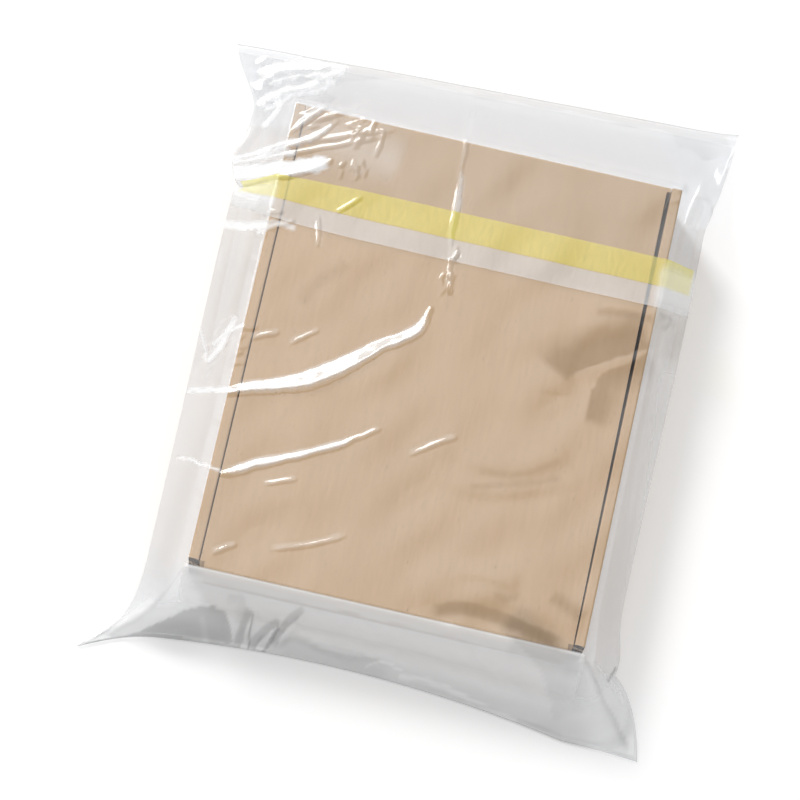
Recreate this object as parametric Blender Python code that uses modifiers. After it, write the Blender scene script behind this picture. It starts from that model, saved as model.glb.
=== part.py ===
"""A clear film mailer bag, closed around a flat carton.

The bag is one sheet of clear film. It is folded at the bottom, welded along both sides and
folded down over the front at the top. A strip of adhesive holds that flap down, with a strip
of release liner beside it. Inside lies a mailer carton, folded from one blank of corrugated
board. The bag lies on its back: X is its width, Y its length and Z points out of its front.
All sizes are in metres.
"""
import math

import bmesh
import bpy
from mathutils import Matrix, Vector

# The carton
carton_width = 0.254
carton_length = 0.305
carton_height = 0.0508
board = 0.003
roll_gap = 0.0006
lid_drop = 0.0005
fold_round = 0.0015
wall_clearance = 0.0005
left_slot = 0.0008
right_slot_at_hinge = 0.003
right_slot_at_front = 0.0008
front_flap_gap = 0.0015
front_flap_end_relief = 0.0034
front_flap_lift = 0.001

# The film and the strips that lie between its layers
film = 0.0003
clearance = 0.0003
strip = 0.0003
edge_ease = 0.0008
weld_half_gap = 0.0008
rim_share = 0.07
lowest_mitre = 0.6

# The bag's outline on the floor, measured from the carton's faces
left_margin = 0.0275
right_margin = 0.0185
fold_reach_left = 0.0445
fold_reach_right = 0.054
fold_corner_left = Vector((0.0475, 0.0425))
fold_corner_right = Vector((0.030, 0.0575))
seam_reach_left = 0.0385
seam_reach_middle = 0.0335
seam_reach_right = 0.047
left_ear = Vector((0.057, 0.0565))
right_ear = Vector((0.049, 0.0495))

# How the bag's outline swings out to its corners: two pulls for each corner, keyed by side
# and end, as shares of the way across and along from the carton's end to the corner
corner_pulls = {
    (-1, -1): (Vector((0.08, 0.66)), Vector((0.35, 0.66))),
    (1, -1): (Vector((0.35, 0.10)), Vector((0.80, 0.45))),
    (-1, 1): (Vector((0.05, 0.30)), Vector((0.85, 0.70))),
    (1, 1): (Vector((0.50, 0.15)), Vector((0.85, 0.60))),
}
end_pulls = (Vector((0.40, 0.12)), Vector((0.62, 0.40)))

# How high the bag's edges lie above the floor
side_edge_height = 0.006
seam_height = 0.00095
fold_height = 0.009

# How the film falls from the carton's edges, and how sharp its hip lines are
drape_power = 1.5
drape_round = 0.03
hip_sharpness = 4
back_lift_start = 0.35

# Waists and swellings of the side edges: place along the bag, size and spread
left_swellings = ((0.64, -0.0035, 0.045), (0.79, 0.0055, 0.07))
right_swellings = ((0.98, 0.003, 0.06), (-0.95, 0.005, 0.12))

# The strips, measured down from the carton's hinge end
adhesive_from_hinge = 0.0475
adhesive_width = 0.0183
liner_width = 0.0143

# The pieces' plain colours
film_colour = (0.86, 0.87, 0.88)
adhesive_colour = (0.74, 0.60, 0.16)
liner_colour = (0.80, 0.75, 0.70)
kraft_colour = (0.49, 0.31, 0.18)

# The grid of the film
columns_over_carton = 26
steps_outside_carton = 5
rows_below_strips = 18
rows_over_strip = 2
rows_above_strips = 4
arc_steps = 4
same_height = 1e-7
same_place = 1e-6
level_angle = 0.001

# Places on the bag count from -1 to 1 over the carton and on to 2 at the bag's edge.
# Each crease is a chain of places, a half width and a height.
creases = (
    (((-1.70, 0.66), (-1.05, 0.86), (-0.45, 0.99)), 0.014, 0.0022),
    (((-1.80, 0.57), (-1.10, 0.70), (-0.70, 0.78)), 0.014, 0.0024),
    (((-1.60, 1.25), (-1.05, 1.45), (-0.70, 1.62)), 0.014, 0.0030),
    (((-1.55, -0.36), (-0.92, -0.23), (-0.44, -0.03), (-0.11, 0.26)), 0.014, 0.0022),
    (((-1.50, -0.58), (-0.92, -0.60), (-0.40, -0.37), (-0.23, -0.26)), 0.014, 0.0018),
    (((-0.12, 1.60), (-0.10, 0.95), (-0.08, 0.40)), 0.014, 0.0014),
    (((1.05, 0.22), (0.80, 0.30), (0.55, 0.38)), 0.016, 0.0030),
    (((1.05, -0.98), (1.40, -1.35), (1.75, -1.75)), 0.012, 0.0030),
    (((-0.05, -1.70), (0.45, -1.72), (0.90, -1.78)), 0.008, 0.0026),
)
pleat_places = (-0.70, -0.58, -0.47, -0.37, -0.06)
pleat_lean = 0.10
pleat_foot = -1.92
pleat_top = -1.35
pleat_half_width = 0.0062
pleat_height = 0.0042
# Each hollow is a place, two half widths and a depth.
hollows = (((-1.02, -1.62), (0.040, 0.015), 0.0085), ((0.25, -1.45), (0.045, 0.012), 0.003))
crease_fade = 0.22

# Sizes that follow from the ones above
board_bottom = film + clearance
carton_top = board_bottom + carton_height
floor_middle = film / 2
front_middle = carton_top + clearance + film / 2
strip_lift = film / 2 + clearance + strip / 2
flap_lift = strip_lift + strip / 2 + clearance + film / 2
half_width = carton_width / 2 + edge_ease
front_flap_face = carton_length / 2 + front_flap_gap + board
low_end = -front_flap_face - edge_ease
high_end = carton_length / 2 + edge_ease
mid_length = (high_end + low_end) / 2
half_length = (high_end - low_end) / 2
strip_top = carton_length / 2 - adhesive_from_hinge
liner_top = strip_top - adhesive_width - clearance
strip_bottom = liner_top - liner_width


def remove_scene_objects():
    for old in list(bpy.data.objects):
        bpy.data.objects.remove(old, do_unlink=True)


def new_collection(name):
    collection = bpy.data.collections.new(name)
    bpy.context.scene.collection.children.link(collection)
    return collection


def plain_material(name, colour, roughness, alpha):
    material = bpy.data.materials.new(name)
    material.use_nodes = True
    shader = material.node_tree.nodes["Principled BSDF"]
    shader.inputs["Base Color"].default_value = (*colour, 1.0)
    shader.inputs["Roughness"].default_value = roughness
    shader.inputs["Metallic"].default_value = 0.0
    shader.inputs["Alpha"].default_value = alpha
    material.diffuse_color = (*colour, alpha)
    return material


def add_object(name, mesh, collection, material=None):
    thing = bpy.data.objects.new(name, mesh)
    collection.objects.link(thing)
    if material is not None:
        mesh.materials.append(material)
    return thing


def smooth_step(value):
    value = min(1.0, max(0.0, value))
    return value * value * (3.0 - 2.0 * value)


def mix(first, second, share):
    return first + (second - first) * share


def cubic(start, pull_start, pull_end, end, share):
    rest = 1.0 - share
    return (start * rest ** 3 + pull_start * (3 * share * rest ** 2)
            + pull_end * (3 * share ** 2 * rest) + end * share ** 3)


# The outline of the bag on the floor


def along_to_y(along):
    return mid_length + along * half_length


def y_to_along(y):
    return (y - mid_length) / half_length


def side_of(across):
    return -1 if across < 0 else 1


def margin_at(side, along):
    """Distance from the carton's edge line to the bag's side edge."""
    margin = left_margin if side < 0 else right_margin
    for place, size, spread in (left_swellings if side < 0 else right_swellings):
        margin += size * math.exp(-((along - place) / spread) ** 2)
    return margin


def side_edge(side, along):
    """A point on the bag's side edge beside the carton."""
    along = max(-1.0, min(1.0, along))
    return Vector((side * (half_width + margin_at(side, along)), along_to_y(along)))


def end_corner(side, end):
    """The tip of an ear at the bottom, or a corner of the fold at the top."""
    if end < 0:
        reach = left_ear if side < 0 else right_ear
        return Vector((side * (half_width + reach.x), low_end - reach.y))
    reach = fold_corner_left if side < 0 else fold_corner_right
    return Vector((side * (half_width + reach.x), high_end + reach.y))


def pulled(start, tip, pulls, share):
    """A point on the curve from a start to a tip, with its two pulls as shares of the way."""
    way = tip - start
    return cubic(start, start + way * pulls[0], start + way * pulls[1], tip, share)


def corner_edge(side, end, share):
    """The side edge past the carton's end, out to the ear or the fold corner."""
    return pulled(side_edge(side, end), end_corner(side, end), corner_pulls[side, end], share)


def end_reach(across, end):
    """How far the seam or the fold lies beyond the carton, at a place over the carton."""
    if end > 0:
        return mix(fold_reach_left, fold_reach_right, (across + 1) / 2)
    slope = (seam_reach_right - seam_reach_left) / 2
    bow = (seam_reach_right + seam_reach_left) / 2 - seam_reach_middle
    return seam_reach_middle + slope * across + bow * across ** 2


def end_edge(across, end):
    """A point on the bottom seam or on the top fold."""
    side = side_of(across)
    limit = high_end if end > 0 else low_end
    if abs(across) <= 1.0:
        return Vector((across * half_width, limit + end * end_reach(across, end)))
    return pulled(end_edge(side, end), end_corner(side, end), end_pulls, abs(across) - 1.0)


def floor_place(across, along):
    """The place on the floor below a place on the bag."""
    side = side_of(across)
    end = side_of(along)
    over_x = max(-half_width, min(half_width, across * half_width))
    over_y = max(low_end, min(high_end, along_to_y(along)))
    out_x = max(0.0, abs(across) - 1.0)
    out_y = max(0.0, abs(along) - 1.0)
    inner = Vector((over_x, over_y))
    if out_y == 0.0:
        return inner.lerp(side_edge(side, along), out_x)
    if out_x == 0.0:
        return inner.lerp(end_edge(across, end), out_y)
    beside = inner.lerp(side_edge(side, end), out_x)
    beyond = inner.lerp(end_edge(side, end), out_y)
    rim_side = corner_edge(side, end, out_y)
    rim_end = end_edge(across, end)
    flat = (inner * ((1 - out_x) * (1 - out_y)) + side_edge(side, end) * (out_x * (1 - out_y))
            + end_edge(side, end) * ((1 - out_x) * out_y) + end_corner(side, end) * (out_x * out_y))
    return (beside * (1 - out_y) + rim_end * out_y + beyond * (1 - out_x) + rim_side * out_x) - flat


# The heights of the front and of the back


def out_shares(across, along):
    return max(0.0, abs(across) - 1.0), max(0.0, abs(along) - 1.0)


def out_share(across, along):
    """0 over the carton, 1 on the bag's edge, with a hip line towards each corner."""
    out_x, out_y = out_shares(across, along)
    return (out_x ** hip_sharpness + out_y ** hip_sharpness) ** (1.0 / hip_sharpness)


def edge_height(across, along):
    """Height of the bag's edge beyond a place."""
    out_x, out_y = out_shares(across, along)
    end_height = fold_height if along > 0 else seam_height
    farthest = max(out_x, out_y)
    if farthest == 0.0:
        return side_edge_height
    return mix(side_edge_height, end_height, smooth_step(out_y / farthest))


def drape(share):
    """1 at the carton's edge, 0 at the bag's edge, round where it leaves the carton."""
    eased = share * share * (1.0 + drape_round) / (share + drape_round)
    return max(0.0, 1.0 - eased) ** drape_power


def distance_to_chain(place, chain):
    """Distance from a place to a chain of straight runs, and the share of its length there."""
    best = (1.0, 0.0)
    lengths = [(second - first).length for first, second in zip(chain, chain[1:])]
    passed = 0.0
    for first, second, length in zip(chain, chain[1:], lengths):
        step = second - first
        share = max(0.0, min(1.0, (place - first).dot(step) / step.dot(step)))
        gap = (place - first - step * share).length
        if gap < best[0]:
            best = (gap, (passed + share * length) / sum(lengths))
        passed += length
    return best


def ridge(place, chain, width, height):
    gap, share = distance_to_chain(place, chain)
    if gap >= width:
        return 0.0
    return height * (0.5 + 0.5 * math.cos(math.pi * gap / width)) * math.sin(math.pi * share) ** 0.5


def hollow(place, centre, widths, depth):
    reach = math.hypot((place.x - centre.x) / widths[0], (place.y - centre.y) / widths[1])
    if reach >= 1.0:
        return 0.0
    return -depth * (0.5 + 0.5 * math.cos(math.pi * reach))


def pleat_chains():
    """Short pleats that run up from the bottom seam, leaning to and fro."""
    for index, across in enumerate(pleat_places):
        lean = pleat_lean if index % 2 else -pleat_lean
        yield (floor_place(across, pleat_foot), floor_place(across + lean, pleat_top))


crease_lines = [([floor_place(*place) for place in chain], width, height)
                for chain, width, height in creases]
crease_lines += [(list(chain), pleat_half_width, pleat_height) for chain in pleat_chains()]
hollow_places = [(floor_place(*place), widths, depth) for place, widths, depth in hollows]


def folds_at(place, share):
    """Height that the creases, pleats and hollows add to the front."""
    raised = max((ridge(place, *line) for line in crease_lines), default=0.0)
    sunk = sum(hollow(place, *spot) for spot in hollow_places) if share > 0.0 else 0.0
    return (raised + sunk) * min(1.0, max(0.0, 1.0 - share) / crease_fade)


def front_point(across, along):
    """A point on the middle of the front film."""
    place = floor_place(across, along)
    share = out_share(across, along)
    low = edge_height(across, along) + weld_half_gap
    height = low + (front_middle - low) * drape(share) + folds_at(place, share)
    return Vector((place.x, place.y, height))


def back_point(across, along):
    """A point on the middle of the back film, flat on the floor but for its rim."""
    place = floor_place(across, along)
    rise = smooth_step((out_share(across, along) - back_lift_start) / (1.0 - back_lift_start))
    height = mix(floor_middle, edge_height(across, along) - weld_half_gap, rise)
    return Vector((place.x, place.y, height))


def corner_normals(rows, row, column):
    """Normals of the grid's faces around a point."""
    here = rows[row][column]
    for row_step in (-1, 1):
        for column_step in (-1, 1):
            near_row, near_column = row + row_step, column + column_step
            if 0 <= near_row < len(rows) and 0 <= near_column < len(rows[0]):
                run = rows[row][near_column] - here
                rise = rows[near_row][column] - here
                yield (run.cross(rise) * row_step * column_step).normalized()


def lifted_rows(rows, lift):
    """A grid that lies a given distance above another, square to it, with mitred folds."""
    lifted = []
    for row, points in enumerate(rows):
        line = []
        for column, point in enumerate(points):
            normals = list(corner_normals(rows, row, column))
            upward = sum(normals, Vector()).normalized()
            if upward.z < 0.0:
                upward = -upward
                normals = [-normal for normal in normals]
            mitre = max(lowest_mitre, min(upward.dot(normal) for normal in normals))
            line.append(point + upward * (lift / mitre))
        lifted.append(line)
    return lifted


# Places of the grid's columns and rows


def even_steps(start, end, count):
    return [mix(start, end, index / count) for index in range(count)]


def outside_steps():
    """Places from the carton's edge to the bag's edge, the same on all sides for clean hips."""
    return even_steps(1.0, 2.0 - rim_share, steps_outside_carton) + [2.0 - rim_share, 2.0]


def column_places():
    outside = outside_steps()
    over_carton = even_steps(-1.0, 1.0, columns_over_carton)
    return [-place for place in outside[::-1]] + over_carton[1:] + outside


def strip_rows(y_low, y_high):
    low = y_to_along(y_low)
    high = y_to_along(y_high)
    return even_steps(low, high, rows_over_strip) + [high]


def liner_rows():
    return strip_rows(strip_bottom + clearance, liner_top)


def adhesive_rows():
    return strip_rows(strip_top - adhesive_width, strip_top)


def row_places():
    """Rows from the bottom seam up to the mouth of the bag, just short of the fold."""
    flap_end = y_to_along(strip_bottom)
    below_carton = [-place for place in outside_steps()[::-1]]
    below_strips = even_steps(-1.0, flap_end, rows_below_strips)[1:] + [flap_end]
    above_strips = even_steps(y_to_along(strip_top), 1.0, rows_above_strips)[1:]
    return (below_carton + below_strips + liner_rows() + adhesive_rows() + above_strips
            + outside_steps()[:-1])


def flap_place(across, along):
    """The flap is a little narrower than the bag, except at the fold."""
    reach = 2.0 if along >= 2.0 else 2.0 - rim_share / 2
    return max(-reach, min(reach, across))


def sheet_rows(columns):
    """Rows of points along the whole sheet: front mouth, bottom fold, back, top fold, flap."""
    rows = row_places()
    flap_rows = [2.0] + [row for row in reversed(rows) if row >= y_to_along(strip_bottom)]
    front = [[front_point(column, row) for column in columns] for row in reversed(rows)]
    back = [[back_point(column, row) for column in columns] for row in rows + [2.0]]
    under_flap = [[front_point(flap_place(column, row), row) for column in columns]
                  for row in flap_rows]
    flap = lifted_rows(under_flap, flap_lift)
    bottom_turn = turn_row(front[-1], back[0], Vector((0.0, -weld_half_gap, 0.0)))
    top_turn = turn_row(back[-1], flap[0], Vector((0.0, weld_half_gap + flap_lift / 2, 0.0)))
    return front + [bottom_turn] + back + [top_turn] + flap


def turn_row(first, second, step_out):
    """The row of points in the middle of a turn of the film."""
    return [one.lerp(other, 0.5) + step_out for one, other in zip(first, second)]


def grid_mesh(rows):
    """A grid primitive whose points are moved to the given rows of points."""
    mesh_data = bmesh.new()
    bmesh.ops.create_grid(mesh_data, x_segments=len(rows[0]) - 1, y_segments=len(rows) - 1, size=1.0)
    mesh_data.verts.ensure_lookup_table()
    points = [point for row in rows for point in row]
    for vertex, point in zip(mesh_data.verts, points):
        vertex.co = point
    return mesh_data


def chain_edges(mesh_data, indices):
    """The edges that join a chain of vertices."""
    verts = mesh_data.verts
    pairs = zip(indices, indices[1:])
    return [mesh_data.edges.get((verts[first], verts[second])) for first, second in pairs]


def weld_sides(mesh_data, column_count, row_count):
    """Joins the front's side edges to the back's, from the bottom fold up to the mouth."""
    for column in (0, column_count - 1):
        front = [row * column_count + column for row in range(row_count)]
        back = [(row_count + 1 + row) * column_count + column for row in range(row_count)]
        edges = chain_edges(mesh_data, front) + chain_edges(mesh_data, back)
        bmesh.ops.bridge_loops(mesh_data, edges=edges)
    bmesh.ops.holes_fill(mesh_data, edges=mesh_data.edges[:], sides=3)


def is_flat_at(vertex, height):
    return abs(vertex.co.z - height) < same_height


def merge_flat_faces(mesh_data, height):
    """Turns the level faces at one height into few large ones."""
    def level(vertex):
        return is_flat_at(vertex, height) and not vertex.is_boundary
    inner = [vertex for vertex in mesh_data.verts if level(vertex)
             and all(is_flat_at(near, height) for edge in vertex.link_edges for near in edge.verts)]
    edges = {edge for vertex in inner for edge in vertex.link_edges}
    bmesh.ops.dissolve_limit(mesh_data, angle_limit=level_angle, verts=inner, edges=list(edges))


def finish_sheet(name, mesh_data, thickness, collection, material):
    """Turns an open surface into a sheet with a wall."""
    bmesh.ops.recalc_face_normals(mesh_data, faces=mesh_data.faces[:])
    bent = [face for face in mesh_data.faces if len(face.verts) == 4]
    bmesh.ops.triangulate(mesh_data, faces=bent, quad_method="SHORT_EDGE")
    mesh = bpy.data.meshes.new(name)
    mesh_data.to_mesh(mesh)
    mesh_data.free()
    mesh.shade_smooth()
    sheet = add_object(name, mesh, collection, material)
    wall = sheet.modifiers.new("film wall", "SOLIDIFY")
    wall.thickness = thickness
    wall.offset = 0.0
    return sheet


def build_film_bag(collection):
    columns = column_places()
    rows = sheet_rows(columns)
    mesh_data = grid_mesh(rows)
    weld_sides(mesh_data, len(columns), len(row_places()))
    for height in (floor_middle, front_middle, front_middle + flap_lift):
        merge_flat_faces(mesh_data, height)
    material = plain_material("clear film", film_colour, roughness=0.15, alpha=0.35)
    return finish_sheet("film_bag", mesh_data, film, collection, material)


def build_strip(name, rows, colour, collection):
    """A strip that lies on the front film, under the flap, from side to side of the bag."""
    columns = column_places()[1:-1]
    points = [[front_point(column, row) for column in columns] for row in rows]
    mesh_data = grid_mesh(lifted_rows(points, strip_lift))
    material = plain_material(name, colour, roughness=0.35, alpha=0.8)
    return finish_sheet(name, mesh_data, strip, collection, material)


def build_strips(collection):
    build_strip("adhesive_strip", adhesive_rows(), adhesive_colour, collection)
    build_strip("liner_strip", liner_rows(), liner_colour, collection)


# The carton


def offset_point(before, point, after, distance):
    """The mitred point at a distance to the left of a path."""
    into = (point - before).normalized() if before is not None else (after - point).normalized()
    out = (after - point).normalized() if after is not None else into
    left_in = Vector((-into.y, into.x))
    left_out = Vector((-out.y, out.x))
    bisector = (left_in + left_out).normalized()
    return point + bisector * (distance / bisector.dot(left_in))


def board_outline(path):
    """Both sides of a board that follows a path of straight panels."""
    padded = [None] + path + [None]
    spots = list(zip(padded, path, padded[2:]))
    left = [offset_point(*spot, board / 2) for spot in spots]
    right = [offset_point(*spot, -board / 2) for spot in spots]
    return left + right[::-1]


def is_outer_corner(before, point, after, turning):
    return (point - before).cross(after - point) * turning > 0.0


def turning_of(outline):
    following = outline[1:] + outline[:1]
    return math.copysign(1.0, sum(one.cross(other) for one, other in zip(outline, following)))


def round_folds(outline, ends):
    """Rounds the outer corners of an outline, apart from the board's cut ends."""
    turning = turning_of(outline)
    count = len(outline)
    result = []
    for index, point in enumerate(outline):
        before, after = outline[index - 1], outline[(index + 1) % count]
        if index in ends or not is_outer_corner(before, point, after, turning):
            result.append(point)
            continue
        start = point + (before - point).normalized() * fold_round
        end = point + (after - point).normalized() * fold_round
        for step in range(arc_steps + 1):
            share = step / arc_steps
            result.append(start * (1 - share) ** 2 + point * (2 * share * (1 - share)) + end * share ** 2)
    return result


def folded_board(name, path, width, collection):
    """Extrudes the section of a folded board; the section's plane is X and Y."""
    outline = board_outline([Vector(point) for point in path])
    count = len(path)
    outline = round_folds(outline, {0, count - 1, count, 2 * count - 1})
    curve = bpy.data.curves.new(name, "CURVE")
    curve.dimensions = "2D"
    curve.fill_mode = "BOTH"
    curve.extrude = width / 2
    spline = curve.splines.new("POLY")
    spline.points.add(len(outline) - 1)
    for spot, point in zip(spline.points, outline):
        spot.co = (point.x, point.y, 0.0, 1.0)
    spline.use_cyclic_u = True
    return welded_from_curve(name, curve, collection)


def welded_from_curve(name, curve, collection):
    """Makes a mesh object of a curve and welds its caps to its sides."""
    drawn = bpy.data.objects.new(name + "_drawn", curve)
    collection.objects.link(drawn)
    evaluated = drawn.evaluated_get(bpy.context.evaluated_depsgraph_get())
    mesh = bpy.data.meshes.new_from_object(evaluated)
    bpy.data.objects.remove(drawn, do_unlink=True)
    mesh_data = bmesh.new()
    mesh_data.from_mesh(mesh)
    bmesh.ops.remove_doubles(mesh_data, verts=mesh_data.verts, dist=same_place)
    bmesh.ops.recalc_face_normals(mesh_data, faces=mesh_data.faces[:])
    mesh_data.to_mesh(mesh)
    mesh_data.free()
    mesh.name = name
    return add_object(name, mesh, collection)


def box_cutter(name, low, high, collection, narrow_end=None):
    """A box that cuts; narrow_end moves the near low-X side to another X at low Y."""
    mesh_data = bmesh.new()
    bmesh.ops.create_cube(mesh_data, size=1.0)
    low = Vector(low)
    high = Vector(high)
    for vertex in mesh_data.verts:
        share = vertex.co + Vector((0.5, 0.5, 0.5))
        start_x = narrow_end if narrow_end is not None and share.y < 0.5 else low.x
        vertex.co = Vector((mix(start_x, high.x, share.x), mix(low.y, high.y, share.y),
                            mix(low.z, high.z, share.z)))
    mesh = bpy.data.meshes.new(name)
    mesh_data.to_mesh(mesh)
    mesh_data.free()
    cutter = add_object(name, mesh, collection)
    cutter.hide_render = True
    cutter.display_type = "WIRE"
    return cutter


def add_boolean(target, other, operation):
    cut = target.modifiers.new(other.name, "BOOLEAN")
    cut.operation = operation
    cut.object = other
    cut.solver = "EXACT"


def tray_path():
    """Section of the base and the rolled side walls, seen from the front wall."""
    outer = carton_width / 2 - board / 2
    inner = outer - board - roll_gap
    top = carton_top - board / 2
    base = board_bottom + board / 2
    foot = board_bottom + board + wall_clearance
    half = [(inner, foot), (inner, top), (outer, top), (outer, base)]
    return [(-x, z) for x, z in half] + half[::-1]


def wrap_path():
    """Section of front wall, base, back wall, lid and front flap, seen from the side."""
    wall = carton_length / 2 - board / 2
    base = board_bottom + board / 2
    lid = carton_top - lid_drop - board / 2
    front_wall_top = lid - board / 2 - wall_clearance
    flap = carton_length / 2 + front_flap_gap + board / 2
    flap_foot = board_bottom + front_flap_lift
    return [(-wall, front_wall_top), (-wall, base), (wall, base), (wall, lid), (-flap, lid),
            (-flap, flap_foot)]


def build_carton(collection, cutters):
    inner_face = carton_width / 2 - 2 * board - roll_gap
    lid_edge = inner_face - wall_clearance
    tray = folded_board("mailer_carton", tray_path(), carton_length, collection)
    wrap = folded_board("carton_wrap", wrap_path(), 2 * lid_edge, cutters)
    tray.data.transform(upright_turn())
    wrap.data.transform(sideways_turn())
    for cutter in slot_cutters(inner_face, lid_edge, cutters):
        add_boolean(wrap, cutter, "DIFFERENCE")
    wrap.hide_render = True
    wrap.display_type = "WIRE"
    add_boolean(tray, wrap, "UNION")
    tray.data.materials.append(plain_material("kraft board", kraft_colour, roughness=0.85, alpha=1.0))
    return tray


def upright_turn():
    """Stands a section up, so that its Y becomes Z and it runs along Y."""
    return Matrix.Rotation(math.radians(90), 4, "X")


def sideways_turn():
    """Stands a section up and turns it, so that its X runs along Y."""
    return Matrix.Rotation(math.radians(90), 4, "Z") @ Matrix.Rotation(math.radians(90), 4, "X")


def slot_cutters(inner_face, lid_edge, cutters):
    """Cuts the lid clear of the side walls, and shortens the front flap at both ends."""
    below_lid = carton_top - lid_drop - board - clearance
    above = carton_top + board
    hinge = carton_length / 2 - board
    front = -front_flap_face - board
    floor = -board
    spare = wall_clearance / 2
    left = box_cutter("left_slot", (-inner_face + spare, front, below_lid),
                      (-inner_face + left_slot, hinge, above), cutters)
    right = box_cutter("right_slot", (inner_face - right_slot_at_hinge, front, below_lid),
                       (inner_face - spare, hinge, above), cutters,
                       narrow_end=inner_face - right_slot_at_front)
    flap_end = lid_edge - front_flap_end_relief
    flap_face = -carton_length / 2 - clearance
    ends = [box_cutter("flap_end_left", (-lid_edge - board, front, floor),
                       (-flap_end, flap_face, above), cutters),
            box_cutter("flap_end_right", (flap_end, front, floor),
                       (lid_edge + board, flap_face, above), cutters)]
    return [left, right] + ends


def build_all():
    remove_scene_objects()
    parts = new_collection("poly_mailer_bag")
    cutters = new_collection("cutters")
    build_carton(parts, cutters)
    build_film_bag(parts)
    build_strips(parts)


build_all()
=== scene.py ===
# %% [markdown]
# A clear mailer bag around a flat carton.
#
# The real bag is one sheet of thin polyethylene film. It is folded at the bottom, welded along
# both sides and folded down over the front at the top, where a strip of adhesive holds it.
# Inside lies a brown mailer carton, and the film is drawn tight over it. Everything that makes
# the bag look like a bag is in the film: where it is drawn tight, where it is slack, and how its
# creases catch the light. So most of this lesson is about one surface.

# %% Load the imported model
import math
import random

import bmesh
import bpy
import numpy as np
from mathutils import Matrix, Vector


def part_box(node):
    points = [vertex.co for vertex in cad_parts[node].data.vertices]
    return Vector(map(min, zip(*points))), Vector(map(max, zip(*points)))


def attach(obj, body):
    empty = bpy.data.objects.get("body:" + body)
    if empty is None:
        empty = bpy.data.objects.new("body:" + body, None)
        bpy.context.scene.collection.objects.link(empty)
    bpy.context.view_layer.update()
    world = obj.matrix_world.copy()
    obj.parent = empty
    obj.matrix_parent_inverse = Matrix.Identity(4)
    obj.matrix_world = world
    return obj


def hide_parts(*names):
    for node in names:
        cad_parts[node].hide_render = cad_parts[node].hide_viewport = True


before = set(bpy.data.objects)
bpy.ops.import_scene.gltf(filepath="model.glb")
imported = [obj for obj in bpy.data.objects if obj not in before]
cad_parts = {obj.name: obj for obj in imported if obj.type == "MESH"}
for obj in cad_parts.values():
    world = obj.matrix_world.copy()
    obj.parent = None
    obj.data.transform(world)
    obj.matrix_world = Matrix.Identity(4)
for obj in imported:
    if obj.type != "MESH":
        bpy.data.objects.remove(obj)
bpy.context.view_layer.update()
mm = 0.001
print("pieces in the model:", sorted(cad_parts))

# %% [markdown]
# The camera comes first, because all that follows is judged through it.
#
# The picture looks down on the bag from nearly three metres with a long lens, so its sides stay
# almost parallel. The bag's head leans away by 14 degrees and the whole view is turned by
# nearly 13. A camera's rotation is the reverse of the turn that takes the bag into its view.

# %% The camera
camera_turn = math.radians(-12.755)
camera_sway = math.radians(-0.238)
camera_lean = math.radians(-13.938)
bag_in_view = Vector((22.1, 6.2, -2796.0)) * mm
carton_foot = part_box("mailer_carton")[0][2]
film_width_px = 800
focal_px = 4338
sensor_width = 36.0

view_turn = (Matrix.Rotation(camera_turn, 3, "Z") @ Matrix.Rotation(camera_sway, 3, "Y")
             @ Matrix.Rotation(camera_lean, 3, "X"))
camera_spot = view_turn.transposed() @ -bag_in_view + Vector((0.0, 0.0, carton_foot))
camera_data = bpy.data.cameras.new("camera")
camera_data.sensor_width = sensor_width
camera_data.lens = focal_px / film_width_px * sensor_width
camera_data.clip_end = 50.0
camera = bpy.data.objects.new("camera", camera_data)
camera.matrix_world = Matrix.Translation(camera_spot) @ view_turn.transposed().to_4x4()
bpy.context.scene.collection.objects.link(camera)
bpy.context.scene.camera = camera
print("camera at", [round(value, 3) for value in camera_spot], "lens", round(camera_data.lens, 1))

# %% [markdown]
# The bag's outline.
#
# A place on the bag is given by two numbers, across and along. They run from -1 to 1 over the
# carton and on to 2 at the bag's edge, so that a fold can be told to start "at the carton's
# corner" whatever the sizes are. The outline itself could be traced, but a bag's edge is simple:
# it runs beside the carton at a margin and swings out to a long ear at each corner, because
# there the film isn't drawn around anything. Each ear is one cubic curve with two pulls.

# %% Sizes of the carton and of the margins
carton_low, carton_high = (Vector(corner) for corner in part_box("mailer_carton"))
film_gap = 0.45 * mm
edge_ease = 0.8 * mm
half_width = carton_high.x + edge_ease
low_end = carton_low.y - edge_ease
high_end = carton_high.y + edge_ease
mid_length = (high_end + low_end) / 2
half_length = (high_end - low_end) / 2
front_level = carton_high.z + film_gap
back_level = 0.15 * mm
weld_half_gap = 0.8 * mm
side_edge_height = 6.0 * mm
seam_height = 0.95 * mm
fold_height = 9.0 * mm

side_margins = {-1: 26.7 * mm, 1: 19.8 * mm}
# How high the side welds float above the floor: where along the bag, over what reach and by how much.
edge_rises = {-1: (0.38, 0.70, 30.0 * mm), 1: (0.42, 0.68, 37.0 * mm)}
swellings = {-1: ((0.64, -3.5 * mm, 0.045), (0.79, 5.5 * mm, 0.07)),
             1: ((0.98, 3.0 * mm, 0.06), (-0.95, 5.0 * mm, 0.12))}
fold_reaches = (44.5 * mm, 54.0 * mm)
seam_reaches = (38.5 * mm, 33.5 * mm, 47.0 * mm)
ears = {(-1, -1): (57.0 * mm, 56.5 * mm), (1, -1): (49.0 * mm, 49.5 * mm),
        (-1, 1): (47.5 * mm, 42.5 * mm), (1, 1): (30.0 * mm, 57.5 * mm)}
corner_pulls = {(-1, -1): ((0.08, 0.66), (0.35, 0.66)), (1, -1): ((0.35, 0.10), (0.80, 0.45)),
                (-1, 1): ((0.05, 0.30), (0.85, 0.70)), (1, 1): ((0.50, 0.15), (0.85, 0.60))}
end_pulls = ((0.40, 0.12), (0.62, 0.40))
print("carton", [round(value / mm, 1) for value in carton_high - carton_low], "mm")


# %% Curves of the outline
def blend(first, second, share):
    return first + (second - first) * share


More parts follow.
